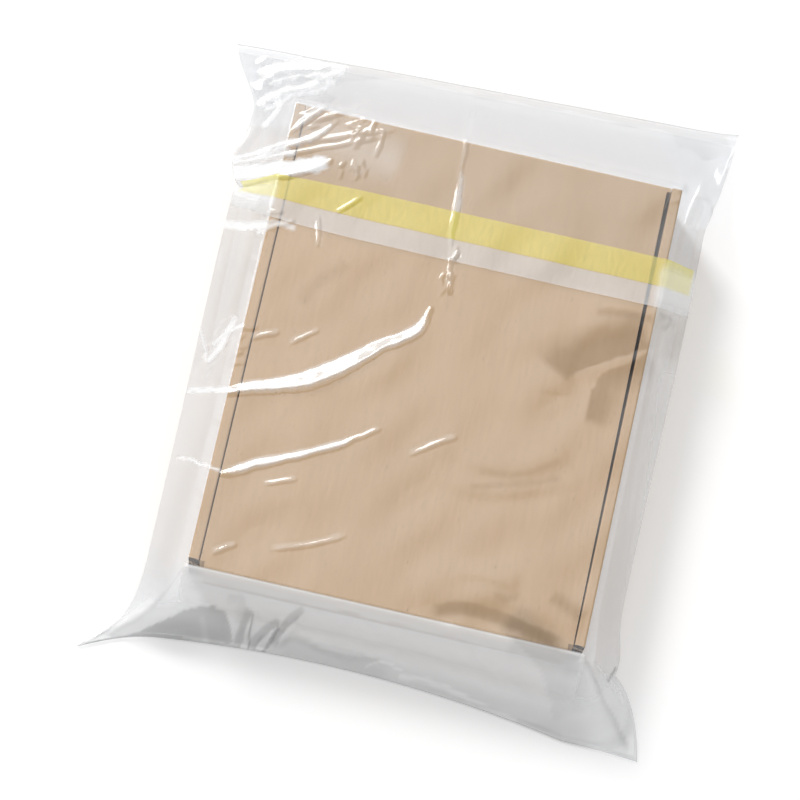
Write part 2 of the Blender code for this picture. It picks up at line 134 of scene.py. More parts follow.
def smooth(value):
    value = np.clip(value, 0.0, 1.0)
    return value * value * (3.0 - 2.0 * value)


def pair(x, y):
    return np.stack(np.broadcast_arrays(x, y), axis=-1)


def pulled(start, tip, pulls, share):
    """The cubic curve from a start to a tip; a pull is a share of the way in X and in Y."""
    way = tip - start
    first, second = (start + way * np.array(pull) for pull in pulls)
    share = share[..., None]
    rest = 1.0 - share
    return (start * rest ** 3 + first * 3 * share * rest ** 2
            + second * 3 * share ** 2 * rest + tip * share ** 3)


def side_edge(side, along):
    along = np.clip(along, -1.0, 1.0)
    margin = side_margins[side]
    for place, size, spread in swellings[side]:
        margin = margin + size * np.exp(-((along - place) / spread) ** 2)
    return pair(side * (half_width + margin), mid_length + along * half_length)


def corner_tip(side, end):
    reach_x, reach_y = ears[side, end]
    limit = high_end if end > 0 else low_end
    return np.array((side * (half_width + reach_x), limit + end * reach_y))


def corner_edge(side, end, share):
    start = side_edge(side, np.array(float(end)))
    return pulled(start, corner_tip(side, end), corner_pulls[side, end], share)


def seam_or_fold(across, end):
    """The bottom seam or the top fold, over the carton."""
    if end > 0:
        reach = blend(*fold_reaches, (across + 1) / 2)
        return pair(across * half_width, high_end + reach)
    left, middle, right = seam_reaches
    reach = middle + (right - left) / 2 * across + ((right + left) / 2 - middle) * across ** 2
    return pair(across * half_width, low_end - reach)


def end_edge(side, across, end):
    inner = seam_or_fold(np.clip(across, -1.0, 1.0), end)
    share = np.clip(side * across - 1.0, 0.0, 1.0)
    return pulled(inner, corner_tip(side, end), end_pulls, share)


# %% [markdown]
# From the outline to the whole floor plan.
#
# Beside the carton a place lies on the straight line from the carton's edge to the bag's edge.
# In a corner four curves meet, and the patch between them is a Coons patch: the two ways of
# joining opposite curves are added, and the flat patch that both contain is taken off once.

# %% The plan of the bag
def outward(place):
    return np.clip(np.abs(place) - 1.0, 0.0, 1.0)


def corner_patch(side, end, across, along):
    out_x = outward(across)[..., None]
    out_y = outward(along)[..., None]
    held_x = np.clip(across, -1.0, 1.0)
    inner = pair(held_x * half_width, mid_length + np.clip(along, -1.0, 1.0) * half_length)
    beside_edge = side_edge(side, along)
    beyond_edge = seam_or_fold(held_x, end)
    side_rim = beside_edge + corner_edge(side, end, outward(along)) - side_edge(side, np.array(float(end)))
    flat = (inner * (1 - out_x) * (1 - out_y) + beside_edge * out_x * (1 - out_y)
            + beyond_edge * (1 - out_x) * out_y + corner_tip(side, end) * out_x * out_y)
    return (blend(inner, beside_edge, out_x) * (1 - out_y) + end_edge(side, across, end) * out_y
            + blend(inner, beyond_edge, out_y) * (1 - out_x) + side_rim * out_x - flat)


pinch_level = 93.0 * mm
pinch_reach = 26.0 * mm
pinch_start = -0.45
pinch_strength = 0.68


def pinched(plan, across):
    """Gathers the film lengthwise at the left edge, where it was bunched beside the adhesive."""
    from_level = plan[..., 1] - pinch_level
    near = smooth((pinch_start - across) / (2.0 + pinch_start)) * np.exp(-(from_level / pinch_reach) ** 2)
    plan[..., 1] -= from_level * near * pinch_strength
    return plan


def floor_plan(across, along):
    """The place on the floor under each place on the bag, as an array of X and Y."""
    plan = np.zeros(across.shape + (2,))
    for side in (-1, 1):
        for end in (-1, 1):
            here = ((across < 0) == (side < 0)) & ((along < 0) == (end < 0))
            plan[here] = corner_patch(side, end, across[here], along[here])
    return pinched(plan, across)


tip = floor_plan(np.array([-2.0]), np.array([-2.0]))[0]
print("left ear at", [round(float(value) / mm) for value in tip], "mm")

# %% [markdown]
# How the film falls from the carton.
#
# Over the lid the film is flat. Past the lid's edge it hangs in a slack curve down to the weld,
# steep at first and shallow near the edge. Towards a corner the fall from the side and the fall
# from the end meet along a hip line, as on a roof. A high power mean of the two distances gives
# a hip that is sharp but not a knife edge.

# %% The fall of the film
drape_power = 1.12
foot_power = 1.40
drape_round = 0.03
foot_round = 0.22
hip_sharpness = 4
back_lift_start = 0.35


def out_share(across, along):
    """0 over the carton and 1 on the bag's edge."""
    powers = outward(across) ** hip_sharpness + outward(along) ** hip_sharpness
    return powers ** (1.0 / hip_sharpness)


def end_share(across, along):
    """0 beyond the long sides and 1 beyond the foot and the head."""
    farthest = np.maximum(outward(across), outward(along))
    return smooth(outward(along) / np.maximum(farthest, 1e-9))


def edge_level(across, along):
    """The height of the bag's edge beyond a place."""
    rises = [size * np.exp(-((along - place) / reach) ** 2) for place, reach, size in edge_rises.values()]
    at_side = side_edge_height + np.where(across < 0, *rises)
    return blend(at_side, np.where(along > 0, fold_height, seam_height), end_share(across, along))


# Where the film is slack it drops early and then runs out almost level: a middle, a reach and
# how much the power of the fall grows there.
slack_spots = (((-144, 172), 44, 1.5), ((152, 176), 30, 0.2))


def fall(share, power, rounding):
    eased = share * share * (1.0 + rounding) / (share + rounding)
    return np.maximum(0.0, 1.0 - eased) ** power


def fall_power(plan, beyond_foot):
    power = blend(drape_power, foot_power, beyond_foot)
    for middle, reach, extra in slack_spots:
        gap = np.linalg.norm(plan / mm - np.array(middle), axis=-1)
        power = power + extra * np.exp(-(gap / reach) ** 2)
    return power


def front_level_at(plan, across, along):
    low = edge_level(across, along) + weld_half_gap
    beyond_foot = end_share(across, along) * (along < 0)
    rounding = blend(drape_round, foot_round, beyond_foot)
    power = fall_power(plan, beyond_foot)
    return low + (front_level - low) * fall(out_share(across, along), power, rounding)


def back_level_at(across, along):
    rise = smooth((out_share(across, along) - back_lift_start) / (1.0 - back_lift_start))
    return blend(back_level, edge_level(across, along) - weld_half_gap, rise)


# %% [markdown]
# Creases that catch the light.
#
# Film shows its shape by its highlights. A crease is white where it mirrors the lamp and clear
# everywhere else, so what matters is the slope of its lit flank, not its height. The lamp here
# hangs at the upper left, and a flank that faces it at about 17 degrees mirrors it into the
# camera. A broad crease has a lit flank of an even slope: it reads as a solid white streak.
# A fine one is a small round ridge, which is that steep only along one thin line.

# %% Distance to a line of creases
lit_slope = math.tan(math.radians(17.0))
ridge_cell = 1.15


def smooth_path(points, steps=6):
    """A smooth line through given points, by cubic steps between neighbours."""
    points = np.array(points, dtype=float)
    padded = np.vstack((2 * points[0] - points[1], points, 2 * points[-1] - points[-2]))
    line = []
    for before, start, end, after in zip(padded, padded[1:], padded[2:], padded[3:]):
        for step in range(steps):
            t = step / steps
            line.append(0.5 * (2 * start + (end - before) * t
                               + (2 * before - 5 * start + 4 * end - after) * t * t
                               + (3 * start - before - 3 * end + after) * t ** 3))
    return np.array(line + [points[-1]])


def distances(place, line, reach):
    """Signed distance to a line, positive on its left, and the share of its length there."""
    near = np.all((place > line.min(axis=0) - reach) & (place < line.max(axis=0) + reach), axis=-1)
    spots = place[near]
    best = np.full(len(spots), 1e9)
    signed = np.zeros(len(spots))
    share = np.zeros(len(spots))
    lengths = np.linalg.norm(np.diff(line, axis=0), axis=1)
    passed = np.concatenate(([0.0], np.cumsum(lengths)))
    for index, (start, end) in enumerate(zip(line, line[1:])):
        step = end - start
        along = np.clip((spots - start) @ step / (step @ step), 0.0, 1.0)
        gap = spots - start - along[:, None] * step
        length = np.linalg.norm(gap, axis=1)
        closer = length < best
        best[closer] = length[closer]
        side = np.sign(step[0] * gap[:, 1] - step[1] * gap[:, 0])
        signed[closer] = (side * length)[closer]
        share[closer] = ((passed[index] + along * lengths[index]) / passed[-1])[closer]
    return near, signed, share


def streak(place, path, widths, steep=1.0, far_side=0.15):
    """A crease with a flank of even slope along its path, as wide as the widths say."""
    line = smooth_path(path) * mm
    widths = np.array(widths) * mm
    near, signed, share = distances(place, line, widths.max() * 1.6)
    width = np.interp(share, np.linspace(0.0, 1.0, len(widths)), widths)
    from_crest = signed + width / 2
    lit = 1.0 - from_crest / np.maximum(width, 1e-6)
    far = 1.0 + from_crest / np.maximum(width * far_side, ridge_cell * mm)
    profile = np.clip(np.where(from_crest > 0, lit, far), 0.0, 1.0)
    raised = np.zeros(place.shape[:-1])
    raised[near] = profile * width * lit_slope * steep
    return raised


def round_fold(place, path, upper, lower, height, shift=0.0):
    """A round ridge with its own width on its left and right, its crest right of the path by a shift."""
    near, signed, share = distances(place, smooth_path(path) * mm, (max(upper, lower) + shift) * mm)
    signed = signed + shift * mm
    gap = np.clip(np.where(signed > 0, signed / upper, -signed / lower) / mm, 0.0, 1.0)
    ends = np.sin(math.pi * np.clip(share, 0.0, 1.0)) ** 0.5
    raised = np.zeros(place.shape[:-1])
    raised[near] = height * mm * ends * (0.5 + 0.5 * np.cos(math.pi * gap))
    return raised


def fine_ridge(place, path, reach, steep=1.05):
    """A small round ridge whose flanks reach the lit slope half way down.

    The grid smooths a narrow ridge, so it is drawn steeper by as much as the grid takes away.
    """
    kept = np.sinc(ridge_cell / reach)
    height = lit_slope * steep / kept * reach * 2 / math.pi
    return round_fold(place, path, reach, ridge_cell, height, reach / 2)


# %% [markdown]
# Where the creases run.
#
# Points are in millimetres from the middle of the bag. The long ones start at the left edge of
# the carton, where the film was pulled down hardest, and fade out towards the middle. They are
# set one by one, because each is one event in how this bag was packed.

# %% The creases of the front
streaks = {
    "long streak": (((-128, -43), (-114, -37), (-99, -32), (-84, -26), (-74, -20), (-63, -12),
                     (-51, -2), (-40, 8), (-28, 16), (-20, 23), (-17, 29), (-15, 38)),
                    (4.6, 6.6, 7.6, 9.0, 10.5, 10.5, 9.5, 8.4, 7.0, 6.4, 5.6, 3.0)),
    "second streak": (((-118, -95), (-109, -90), (-97, -83), (-83, -77), (-71, -71), (-60, -65),
                       (-49, -59), (-40, -52)), (3.4, 5.4, 5.0, 4.4, 4.0, 3.6, 3.4, 2.2)),
    "upper left fold": (((-126, 133), (-120, 142), (-113, 151), (-105, 158)), (1.5, 4.5, 5.5, 1.5)),
    "upper left pull": (((-155, 107), (-139, 117), (-120, 127), (-109, 135), (-99, 147)),
                        (2.5, 3.5, 4.0, 4.0, 1.0)),
    "broad pull": (((-152, 97), (-138, 101), (-122, 105), (-109, 112), (-98, 119)),
                   (4.0, 5.0, 5.0, 4.5, 2.5)),
    "corner fold": (((-149, 149), (-133, 163), (-117, 174), (-104, 187)), (4.0, 8.0, 8.0, 2.0)),
    "head streak": (((-14, 135), (-12, 118), (-11, 103), (-11, 91), (-9, 80)),
                    (1.2, 2.6, 3.6, 2.6, 1.0)),
}
ridges = {
    "third streak": (((-8, -57), (5, -48), (20, -38)), 2.4),
    "second streak's tip": (((-44, -56), (-28, -44)), 2.4),
    "short streak": (((-93, -96), (-72, -88)), 2.2),
    "foot streak": (((-114, -146), (-100, -137)), 2.3),
    "faint foot streak": (((-80, -136), (-55, -127), (-34, -116)), 2.2),
    "left fleck": (((-121, -5), (-104, 3)), 2.6),
    "left hook": (((-97, -4), (-89, 3), (-80, 10)), 2.2),
    "long thin pull": (((-156, 104), (-140, 111), (-112, 124), (-83, 137), (-64, 146)), 2.6),
    "upper pull's branch": (((-120, 127), (-101, 135), (-84, 142), (-61, 150)), 3.0),
    "upper crease": (((-111, 146), (-96, 155), (-84, 165)), 3.6),
    "band tick": (((-97, 84), (-93, 70), (-92, 61)), 2.4),
    "band hook": (((-87, 87), (-79, 95), (-73, 101)), 2.4),
    "head tick": (((-83, 124), (-76, 112)), 2.4),
    "head line": (((-16, 183), (-15, 170), (-15, 160), (-14, 148), (-14, 132)), 2.4),
    "head line's foot": (((-9, 80), (-7, 70), (-6, 55)), 2.2),
}
print(len(streaks), "broad creases and", len(ridges), "fine ones")

# %% The pleats and rolls at the bottom
foot_streaks = {
    "foot roll": (((-8, -192), (20, -195), (50, -198), (80, -201), (111, -202)),
                  (1.5, 4.0, 5.0, 3.5, 1.5), 3.0),
    "right hip": (((127, -154), (140, -168), (155, -188), (169, -204)), (1.0, 3.0, 3.5, 1.0)),
}
foot_ridges = {
    "right hip's fold": (((139, -161), (150, -166), (160, -171)), 2.6),
    "right tick": (((145, -156), (150, -161), (153, -166)), 2.4),
    "foot tick": (((-10, -180), (-9, -188), (-9, -193)), 2.4),
    "left tick": (((-142, -168), (-130, -160), (-118, -158)), 2.6),
}
# Soft folds: a path, the widths of its upper and lower flank and a height, in millimetres.
soft_folds = {
    "pocket's lip": (((-172, -207), (-158, -200), (-142, -191), (-125, -183), (-108, -178), (-95, -177),
                      (-90, -184), (-88, -192)), 16, 9, 7.0),
    "first pleat": (((-86, -194), (-83, -184), (-80, -172)), 3.0, 4.0, 4.5),
    "second pleat": (((-76, -195), (-69, -185), (-61, -174)), 3.5, 3.5, 4.5),
    "third pleat": (((-68, -193), (-60, -182), (-50, -170)), 3.0, 5.0, 5.0),
    "foot bend": (((-56, -176), (-30, -182), (-5, -186), (25, -188)), 9, 5, 3.0),
    "foot wave": (((-15, -172), (20, -176), (60, -184), (100, -186)), 8, 6, 2.4),
    "right slope fold": (((38, -160), (58, -172), (78, -188)), 7, 9, 2.6),
    "right arc": (((78, 2), (77, 28), (84, 47), (97, 57), (114, 55), (133, 45)), 32, 13, 0.7),
    "right spoke": (((136, 47), (117, 37), (100, 27), (84, 20)), 12, 14, 0.7),
    "middle wave": (((10, -66), (40, -69), (68, -62), (100, -48)), 14, 10, 0.55),
    "upper middle wave": (((26, -52), (58, -52), (92, -36)), 14, 10, 0.5),
    "lower edge wave": (((18, -148), (46, -136), (84, -134), (122, -141)), 26, 15, 0.8),
    "small wave": (((36, -124), (56, -121), (78, -123)), 12, 8, 0.5),
    "top right bend": (((122, 151), (134, 157), (146, 156), (151, 146)), 6, 7, 1.0),
}
hollows = {
    "foot hollow": ((30, -178), (45, 12), 1.5),
    "right foot hollow": ((98, -176), (26, 14), 2.5),
}


def sunk(place, centre, widths, depth):
    """A soft dent, in millimetres: its middle, its two half widths and its depth."""
    reach = np.linalg.norm((place / mm - np.array(centre)) / np.array(widths), axis=-1)
    return -depth * mm * (0.5 + 0.5 * np.cos(math.pi * np.clip(reach, 0.0, 1.0)))


# %% [markdown]
# Small crinkles.
#
# Where film has been gathered and let go again, it keeps a field of small sharp crinkles. No one
# can set them by hand. A seeded random draw scatters short ridges over the few patches where the
# bag shows them, with a main direction for each patch.

# %% Fields of crinkles
crinkle_fields = (
    # middle, half sizes and lean of the field, number of crinkles, their half widths and steepness
    ((-135, 172), (26, 20), 38, 26, (2.5, 5.0), 0.72),
    ((-100, 146), (24, 12), 25, 16, (1.6, 2.8), 1.00),
    ((-74, 143), (12, 8), 75, 8, (1.4, 2.4), 1.20),
    ((-80, 116), (12, 6), 80, 8, (1.4, 2.2), 0.92),
    ((-132, 70), (20, 10), 30, 18, (2.0, 4.0), 1.15),
    ((-138, -12), (11, 18), 40, 12, (2.2, 4.2), 1.15),
    ((-8, 68), (4, 14), 85, 8, (1.2, 2.0), 1.00),
    ((10, -187), (110, 8), 25, 16, (2.0, 4.0), 0.9),
    ((140, 150), (10, 12), 60, 8, (2.0, 3.5), 1.0),
    ((141, 60), (7, 60), 80, 8, (1.8, 3.0), 0.8),
)
crinkle_seed = 7


def scattered_crinkles():
    """Short ridges, each as a path in millimetres, a half width and a steepness."""
    draw = random.Random(crinkle_seed)
    found = []
    for middle, sizes, lean, count, widths, steep in crinkle_fields:
        for _ in range(count):
            spot = [centre + size * draw.uniform(-1, 1) for centre, size in zip(middle, sizes)]
            angle = math.radians(lean + draw.gauss(0, 16))
            width = draw.uniform(*widths)
            reach = width * draw.uniform(1.5, 4.0)
            step = (reach * math.cos(angle), reach * math.sin(angle))
            bow = draw.uniform(-0.15, 0.15) * reach
            path = ((spot[0] - step[0], spot[1] - step[1]),
                    (spot[0] - math.sin(angle) * bow, spot[1] + math.cos(angle) * bow),
                    (spot[0] + step[0], spot[1] + step[1]))
            found.append((path, width, steep * draw.uniform(0.7, 1.15)))
    return found


crinkles = scattered_crinkles()
print(len(crinkles), "crinkles")

# %% [markdown]
# Slow waves.
#
# Even tight film isn't a pane of glass. A few long sine waves in random directions make the
# reflection of the room drift over it. They are shallow over the lid, where the film is tight,
# and deeper on the slack slopes. Shorter waves of the same kind fray the edges of the creases.

# %% Waves of the slack film
waves_over_lid = 0.8 * mm
waves_on_slope = 1.6 * mm


def waves(place, seed, lengths, count=9):
    """A sum of sines in random directions, mostly between -1 and 1."""
    draw = random.Random(seed)
    total = np.zeros(place.shape[:-1])
    for _ in range(count):
        length = draw.uniform(*lengths) * mm
        angle = draw.uniform(0, math.pi)
        phase = draw.uniform(0, 2 * math.pi)
        total += np.sin((place[..., 0] * math.cos(angle) + place[..., 1] * math.sin(angle))
                        * 2 * math.pi / length + phase)
    return np.clip(total / count * 1.8, -1.0, 1.0)


def frayed(place, reach):
    """Moves each place a little, so that whatever is drawn there gets an uneven edge."""
    shifts = np.stack((waves(place, 11, (8, 20)), waves(place, 12, (8, 20))), axis=-1)
    return place + shifts * reach * mm


def tent(values):
    """The highest of several reliefs, so that creases that cross don't pile up."""
    return np.maximum.reduce(list(values))


crease_fade = 0.16


def relief(place, share):
    """All that stands on the smooth shape of the front: creases, crinkles, dents and waves."""
    uneven = frayed(place, 0.35)
    broad = [streak(uneven, *rest) for rest in (streaks | foot_streaks).values()]
    fine = [fine_ridge(uneven, *rest) for rest in (ridges | foot_ridges).values()]
    soft = sum(round_fold(place, *rest) for rest in soft_folds.values())
    small = [fine_ridge(place, *rest) for rest in crinkles]
    dents = sum(sunk(place, *rest) for rest in hollows.values())
    slack = smooth(share * 3)
    slow = 0.5 * waves(place, 3, (28, 90)) * blend(waves_over_lid, waves_on_slope, slack)
    fade = np.clip((1.0 - share) / crease_fade, 0.0, 1.0)
    total = tent(broad + fine) + soft + 0.8 * tent(small) + dents + slow
    return np.where(share > 0, total, np.maximum(total, -0.7 * film_gap)) * fade


# %% [markdown]
# The sheet as one mesh.
#
# The front and the flap carry all the creases, so their grid is fine, about a millimetre and a
# half. The back lies flat on the floor and needs only every third row and column. Where a fine
# edge meets a coarse one, each step of the coarse edge and the fine points beside it make one
# face. The film is one layer of faces without a thickness: real film is sixteen times thinner
# than a millimetre, and every extra layer of a wall would only dim the light.

# %% Places of the grid
creased_cell = 1.1 * mm
plain_cell = 2.2 * mm
row_cell = 1.25 * mm
creased_until = 25.0 * mm
coarse = 3
strip_top = 105.0 * mm
adhesive_width = 18.3 * mm
liner_width = 14.3 * mm
strip_gap = 0.3 * mm
flap_end = strip_top - adhesive_width - strip_gap - liner_width


def y_to_along(y):
    return (y - mid_length) / half_length


def even(start, end, size):
    """Even steps from start to end, in a number that the coarse grid can share."""
    count = coarse * max(1, round(abs(end - start) / size / coarse))
    return np.linspace(start, end, count + 1)


def joined(*runs):
    return np.concatenate([runs[0]] + [run[1:] for run in runs[1:]])


outer_cell = 0.04
row_step = row_cell / half_length
columns = joined(even(-2, -1, outer_cell), even(-1, creased_until / half_width, creased_cell / half_width),
                 even(creased_until / half_width, 1, plain_cell / half_width), even(1, 2, outer_cell))
low_rows = joined(even(-2, -1, outer_cell), even(-1, y_to_along(flap_end), row_step))
flap_rows = joined(even(y_to_along(flap_end), y_to_along(strip_top), row_step),
                   even(y_to_along(strip_top), 1, row_step), even(1, 2, outer_cell))
front_rows = joined(low_rows, flap_rows[::coarse])[:-1]
back_rows = joined(low_rows[::coarse], flap_rows[::coarse])
print("front grid", len(front_rows), "by", len(columns), "flap rows", len(flap_rows))


# %% Points of the film
strip_lift = 0.6 * mm
flap_lift = 1.2 * mm
flap_inset = 0.035


def front_points(across, along):
    plan = floor_plan(across, along)
    share = out_share(across, along)
    height = front_level_at(plan, across, along) + relief(plan, share)
    return np.dstack((plan, height))


def back_points(across, along):
    return np.dstack((floor_plan(across, along), back_level_at(across, along)))


def lifted(points, lift):
    """A surface that lies at a distance above another, measured square to it."""
    down_rows = np.gradient(points, axis=0)
    over_columns = np.gradient(points, axis=1)
    normal = np.cross(over_columns, down_rows)
    normal /= np.maximum(np.linalg.norm(normal, axis=-1, keepdims=True), 1e-12)
    normal *= np.where(normal[..., 2:] < 0, -1.0, 1.0)
    return points + normal * lift


front = front_points(*np.meshgrid(columns, front_rows))
back = back_points(*np.meshgrid(columns[::coarse], back_rows))
flap_across, flap_along = np.meshgrid(columns, flap_rows)
flap_across = np.where(flap_along < 2.0, np.clip(flap_across, flap_inset - 2, 2 - flap_inset), flap_across)
flap = lifted(front_points(flap_across, flap_along), flap_lift)
print("highest point of the film", round(float(flap[..., 2].max()) / mm, 1), "mm")


# %% Faces of the film
def grid_faces(points, first):
    """Quads over a grid whose vertices are numbered from first, row by row."""
    row_count, column_count = points.shape[:2]
    numbers = first + np.arange(row_count * column_count).reshape(row_count, column_count)
    quads = np.stack((numbers[:-1, :-1], numbers[:-1, 1:], numbers[1:, 1:], numbers[1:, :-1]), axis=-1)
    return numbers, quads.reshape(-1, 4).tolist()


def stitched(fine, fine_places, rough, rough_places):
    """Faces between two edges, the fine one with every point of the rough one's places."""
    marks = np.searchsorted(fine_places, rough_places - 1e-6)
    faces = []
    for index in range(len(rough) - 1):
        run = fine[marks[index]:marks[index + 1] + 1]
        faces.append([int(number) for number in (*run, rough[index + 1], rough[index])])
    return faces


def film_mesh(name):
    front_numbers, front_faces = grid_faces(front, 0)
    back_numbers, back_faces = grid_faces(back, front_numbers[-1, -1] + 1)
    flap_numbers, flap_faces = grid_faces(flap, back_numbers[-1, -1] + 1)
    faces = front_faces + back_faces + flap_faces
    for column in (0, -1):
        faces += stitched(front_numbers[:, column], front_rows, back_numbers[:-1, column], back_rows[:-1])
    faces += stitched(front_numbers[0], columns, back_numbers[0], columns[::coarse])
    faces += stitched(flap_numbers[-1], columns, back_numbers[-1], columns[::coarse])
    points = np.concatenate([part.reshape(-1, 3) for part in (front, back, flap)])
    mesh = bpy.data.meshes.new(name)
    mesh.from_pydata(points.tolist(), [], faces)
    return mesh


# Each stroke: its path, its width on the left and on the right of it, its strength and the share of its width that has
# no fade. These first strokes are painted light: painted highlights and painted reflection of the lamp and the room on
# the film, and painted light that lifts the shaded right margin.
painted_light_strokes = {
    "long streak's tail": (((-156, -41), (-141, -41), (-131, -42), (-120, -41)), 2.0, 2.4, 0.9, 0.5),
    "second streak's tail": (((-152, -84), (-141, -87), (-133, -91), (-119, -95)), 1.3, 1.3, 0.8, 0.3),
    "thin pull's start": (((-164, 109), (-148, 113), (-138, 115), (-119, 119)), 1.2, 1.2, 0.9, 0.3),
    "upper pull's start": (((-164, 111), (-149, 117), (-139, 121), (-119, 128)), 1.8, 1.8, 0.9, 0.4),
    "broad pull": (((-162, 103), (-150, 105), (-139, 106), (-123, 109), (-108, 115), (-97, 119)), 4.5, 5.5, 0.93, 0.75),
    "corner glare": (((-157, 176), (-150, 184), (-141, 189), (-124, 194)), 3, 5, 0.85, 0.5),
    "corner glare's edge": (((-150, 172), (-138, 179), (-126, 185)), 1.5, 2, 0.6, 0.3),
    "lower corner glare": (((-154, 154), (-148, 162), (-138, 167), (-128, 171), (-117, 182)), 3, 3, 0.9, 0.5),
    "head flake": (((-118, 184), (-110, 190), (-103, 196)), 3, 3, 0.9, 0.5),
    "small head flake": (((-127, 182), (-122, 186), (-117, 187)), 2, 2, 0.8, 0.4),
    "corner tick": (((-146, 138), (-140, 148), (-136, 158)), 2.5, 2.5, 0.7, 0.3),
    "waist glare": (((-154, 90), (-144, 88), (-134, 85)), 4, 4, 0.6, 0.3),
    "lower waist glare": (((-164, 66), (-149, 65), (-139, 65), (-125, 67)), 7, 1.2, 0.85, 0.4),
    "waist sparkle": (((-134, 62), (-129, 66), (-124, 71), (-117, 72), (-108, 71)), 2.5, 3.5, 0.6, 0.3),
    "margin glare": (((-133, 8), (-137, -4), (-139, -13), (-146, -24)), 3.5, 2.5, 0.75, 0.3),
    "margin glare's branch": (((-126, 2), (-139, -6), (-144, -14)), 2, 2, 0.7, 0.3),
    "margin glare's foot": (((-156, 0), (-150, -11), (-145, -24)), 1.6, 1.6, 0.6, 0.3),
    "band's left end": (((-164, 88), (-146, 89), (-124, 90)), 14, 12, 0.30, 0.3),
    "band's right end": (((122, 90), (138, 90), (162, 90)), 16, 26, 0.36, 0.3),
    "right margin": (((142, 50), (150, -20), (156, -90), (160, -150)), 26, 14, 0.30, 0.3),
    "head's veil": (((-136, 150), (-110, 140), (-80, 132), (-50, 128)), 26, 22, 0.12, 0.0),
    "right hook's patch": (((139, 157), (139, 147), (136, 132)), 5, 5, 0.2, 0.0),
    "hip line": (((134, -158), (148, -163), (157, -168), (165, -182), (172, -202)), 0.9, 0.9, 0.6, 0.2),
    "foot seam": (((-126, -195), (-109, -193), (-93, -192), (-77, -191), (-62, -190)), 1.2, 1.6, 0.9, 0.4),
    "foot crest": (((-6, -189), (6, -183), (22, -186)), 3.0, 4.0, 0.75, 0.0),
    "foot roll's face": (((10, -190), (31, -187), (53, -190), (72, -194), (104, -201)), 5.0, 7.0, 0.80, 0.0),
    "foot light": (((14, -172), (26, -166), (50, -165)), 4, 3, 0.3, 0.2),
    "pleat's light": (((-77, -179), (-79, -189), (-77, -196)), 1.2, 1.2, 0.6, 0.3),
    "second pleat's light": (((-57, -177), (-62, -186), (-68, -195)), 1.6, 1.2, 0.6, 0.3),
    "ear": (((-180, -212), (-160, -200), (-147, -191), (-132, -180)), 5, 3, 0.3, 0.1),
}
# Film that lies over itself in folds, and painted shade on facets, pleat lines, margins and ears; the stroke with a
# negative strength is a painted highlight.
layers_and_painted_shade = {
    "pocket": (((-186, -214), (-170, -208), (-157, -202), (-145, -196), (-131, -187), (-116, -179), (-104, -177),
                (-96, -180), (-87, -197)), 1.2, 22, 0.72, 0.55),
    "pocket's shine": (((-112, -181), (-108, -189), (-104, -196)), 3, 3, -0.18, 0.1),
    "neck": (((-99, -168), (-88, -168), (-87, -182)), 1.0, 7, 0.24, 0.2),
    "first pleat": (((-82, -171), (-83, -181), (-85, -194)), 0.8, 5, 0.6, 0.65),
    "first pleat's line": (((-81, -172), (-80, -182), (-79, -195)), 0.9, 0.9, 0.8, 0.5),
    "second pleat": (((-62, -176), (-71, -183), (-77, -193)), 0.9, 5, 0.55, 0.65),
    "second pleat's line": (((-63, -177), (-67, -186), (-71, -195)), 2.0, 0.9, 0.7, 0.5),
    "third pleat": (((-48, -167), (-55, -173), (-60, -180), (-63, -189)), 1.0, 4.5, 0.5, 0.6),
    "roll line": (((-62, -187), (-52, -181), (-35, -183), (-12, -184), (8, -181)), 1.0, 3.5, 0.25, 0.2),
    "foot shade": (((-63, -185), (-52, -180), (-35, -181), (-9, -182), (14, -186)), 0.9, 13, 0.16, 0.5),
    "facet": (((70, -152), (88, -161), (104, -170), (113, -181), (121, -197)), 26, 0.9, 0.22, 0.5),
    "corner shade": (((78, -157), (103, -158), (123, -160), (127, -172)), 1.0, 13, 0.22, 0.4),
    "hip": (((125, -157), (135, -164), (147, -176), (160, -188), (172, -203)), 0.9, 4, 0.34, 0.2),
    "right tick": (((151, -152), (149, -159), (147, -166)), 1.4, 1.4, 0.8, 0.2),
    "right margin": (((162, -70), (156, -100), (154, -134), (157, -166)), 1.0, 6, 0.12, 0.2),
    "hook": (((123, 150), (132, 156), (141, 158), (149, 156), (150, 148)), 1.0, 3.5, 0.22, 0.1),
    "right tuck": (((128, 69), (138, 68), (134, 58)), 1.2, 5, 0.24, 0.1),
    "left margin": (((-152, -176), (-146, -100), (-142, -20), (-140, 60)), 16, 18, 0.09, 0.3),
    "left ear": (((-177, -209), (-160, -198), (-146, -189)), 7, 7, 0.08, 0.1),
    "right ear": (((150, -178), (162, -192), (172, -206)), 8, 8, 0.08, 0.1),
}
# Painted shade patches on the lid and the foot: the film's reflection is taken away and its tint darkened.
painted_shade_patches = {
    "right arc": (((78, 10), (84, 19), (96, 28), (111, 37), (130, 48)), 30, 1.6, 0.85, 0.35),
    "right fork": (((130, 44), (116, 31), (103, 22), (98, 8), (97, -14)), 22, 1.6, 0.75, 0.2),
    "low wedge": (((26, -152), (46, -145), (68, -145), (90, -149), (114, -154)), 5, 8, 0.85, 0.3),
    "right low patch": (((99, -125), (110, -130), (123, -136)), 8, 7, 0.55, 0.1),
    "right top patch": (((88, 61), (108, 64), (128, 64)), 4, 5, 0.55, 0.1),
    "small patch": (((64, -133), (73, -134), (80, -129)), 5, 4, 0.4, 0.1),
    "wave": (((32, -70), (53, -64), (72, -58), (92, -49)), 4, 3, 0.35, 0.1),
    "upper wave": (((36, -58), (64, -54), (90, -38)), 4, 3, 0.3, 0.1),
    "band's shade": (((-70, 56), (-86, 40), (-96, 22)), 6, 9, 0.25, 0.1),
    "top left corner": (((-172, 196), (-158, 190), (-140, 196), (-112, 200)), 12, 10, 0.75, 0.3),
}


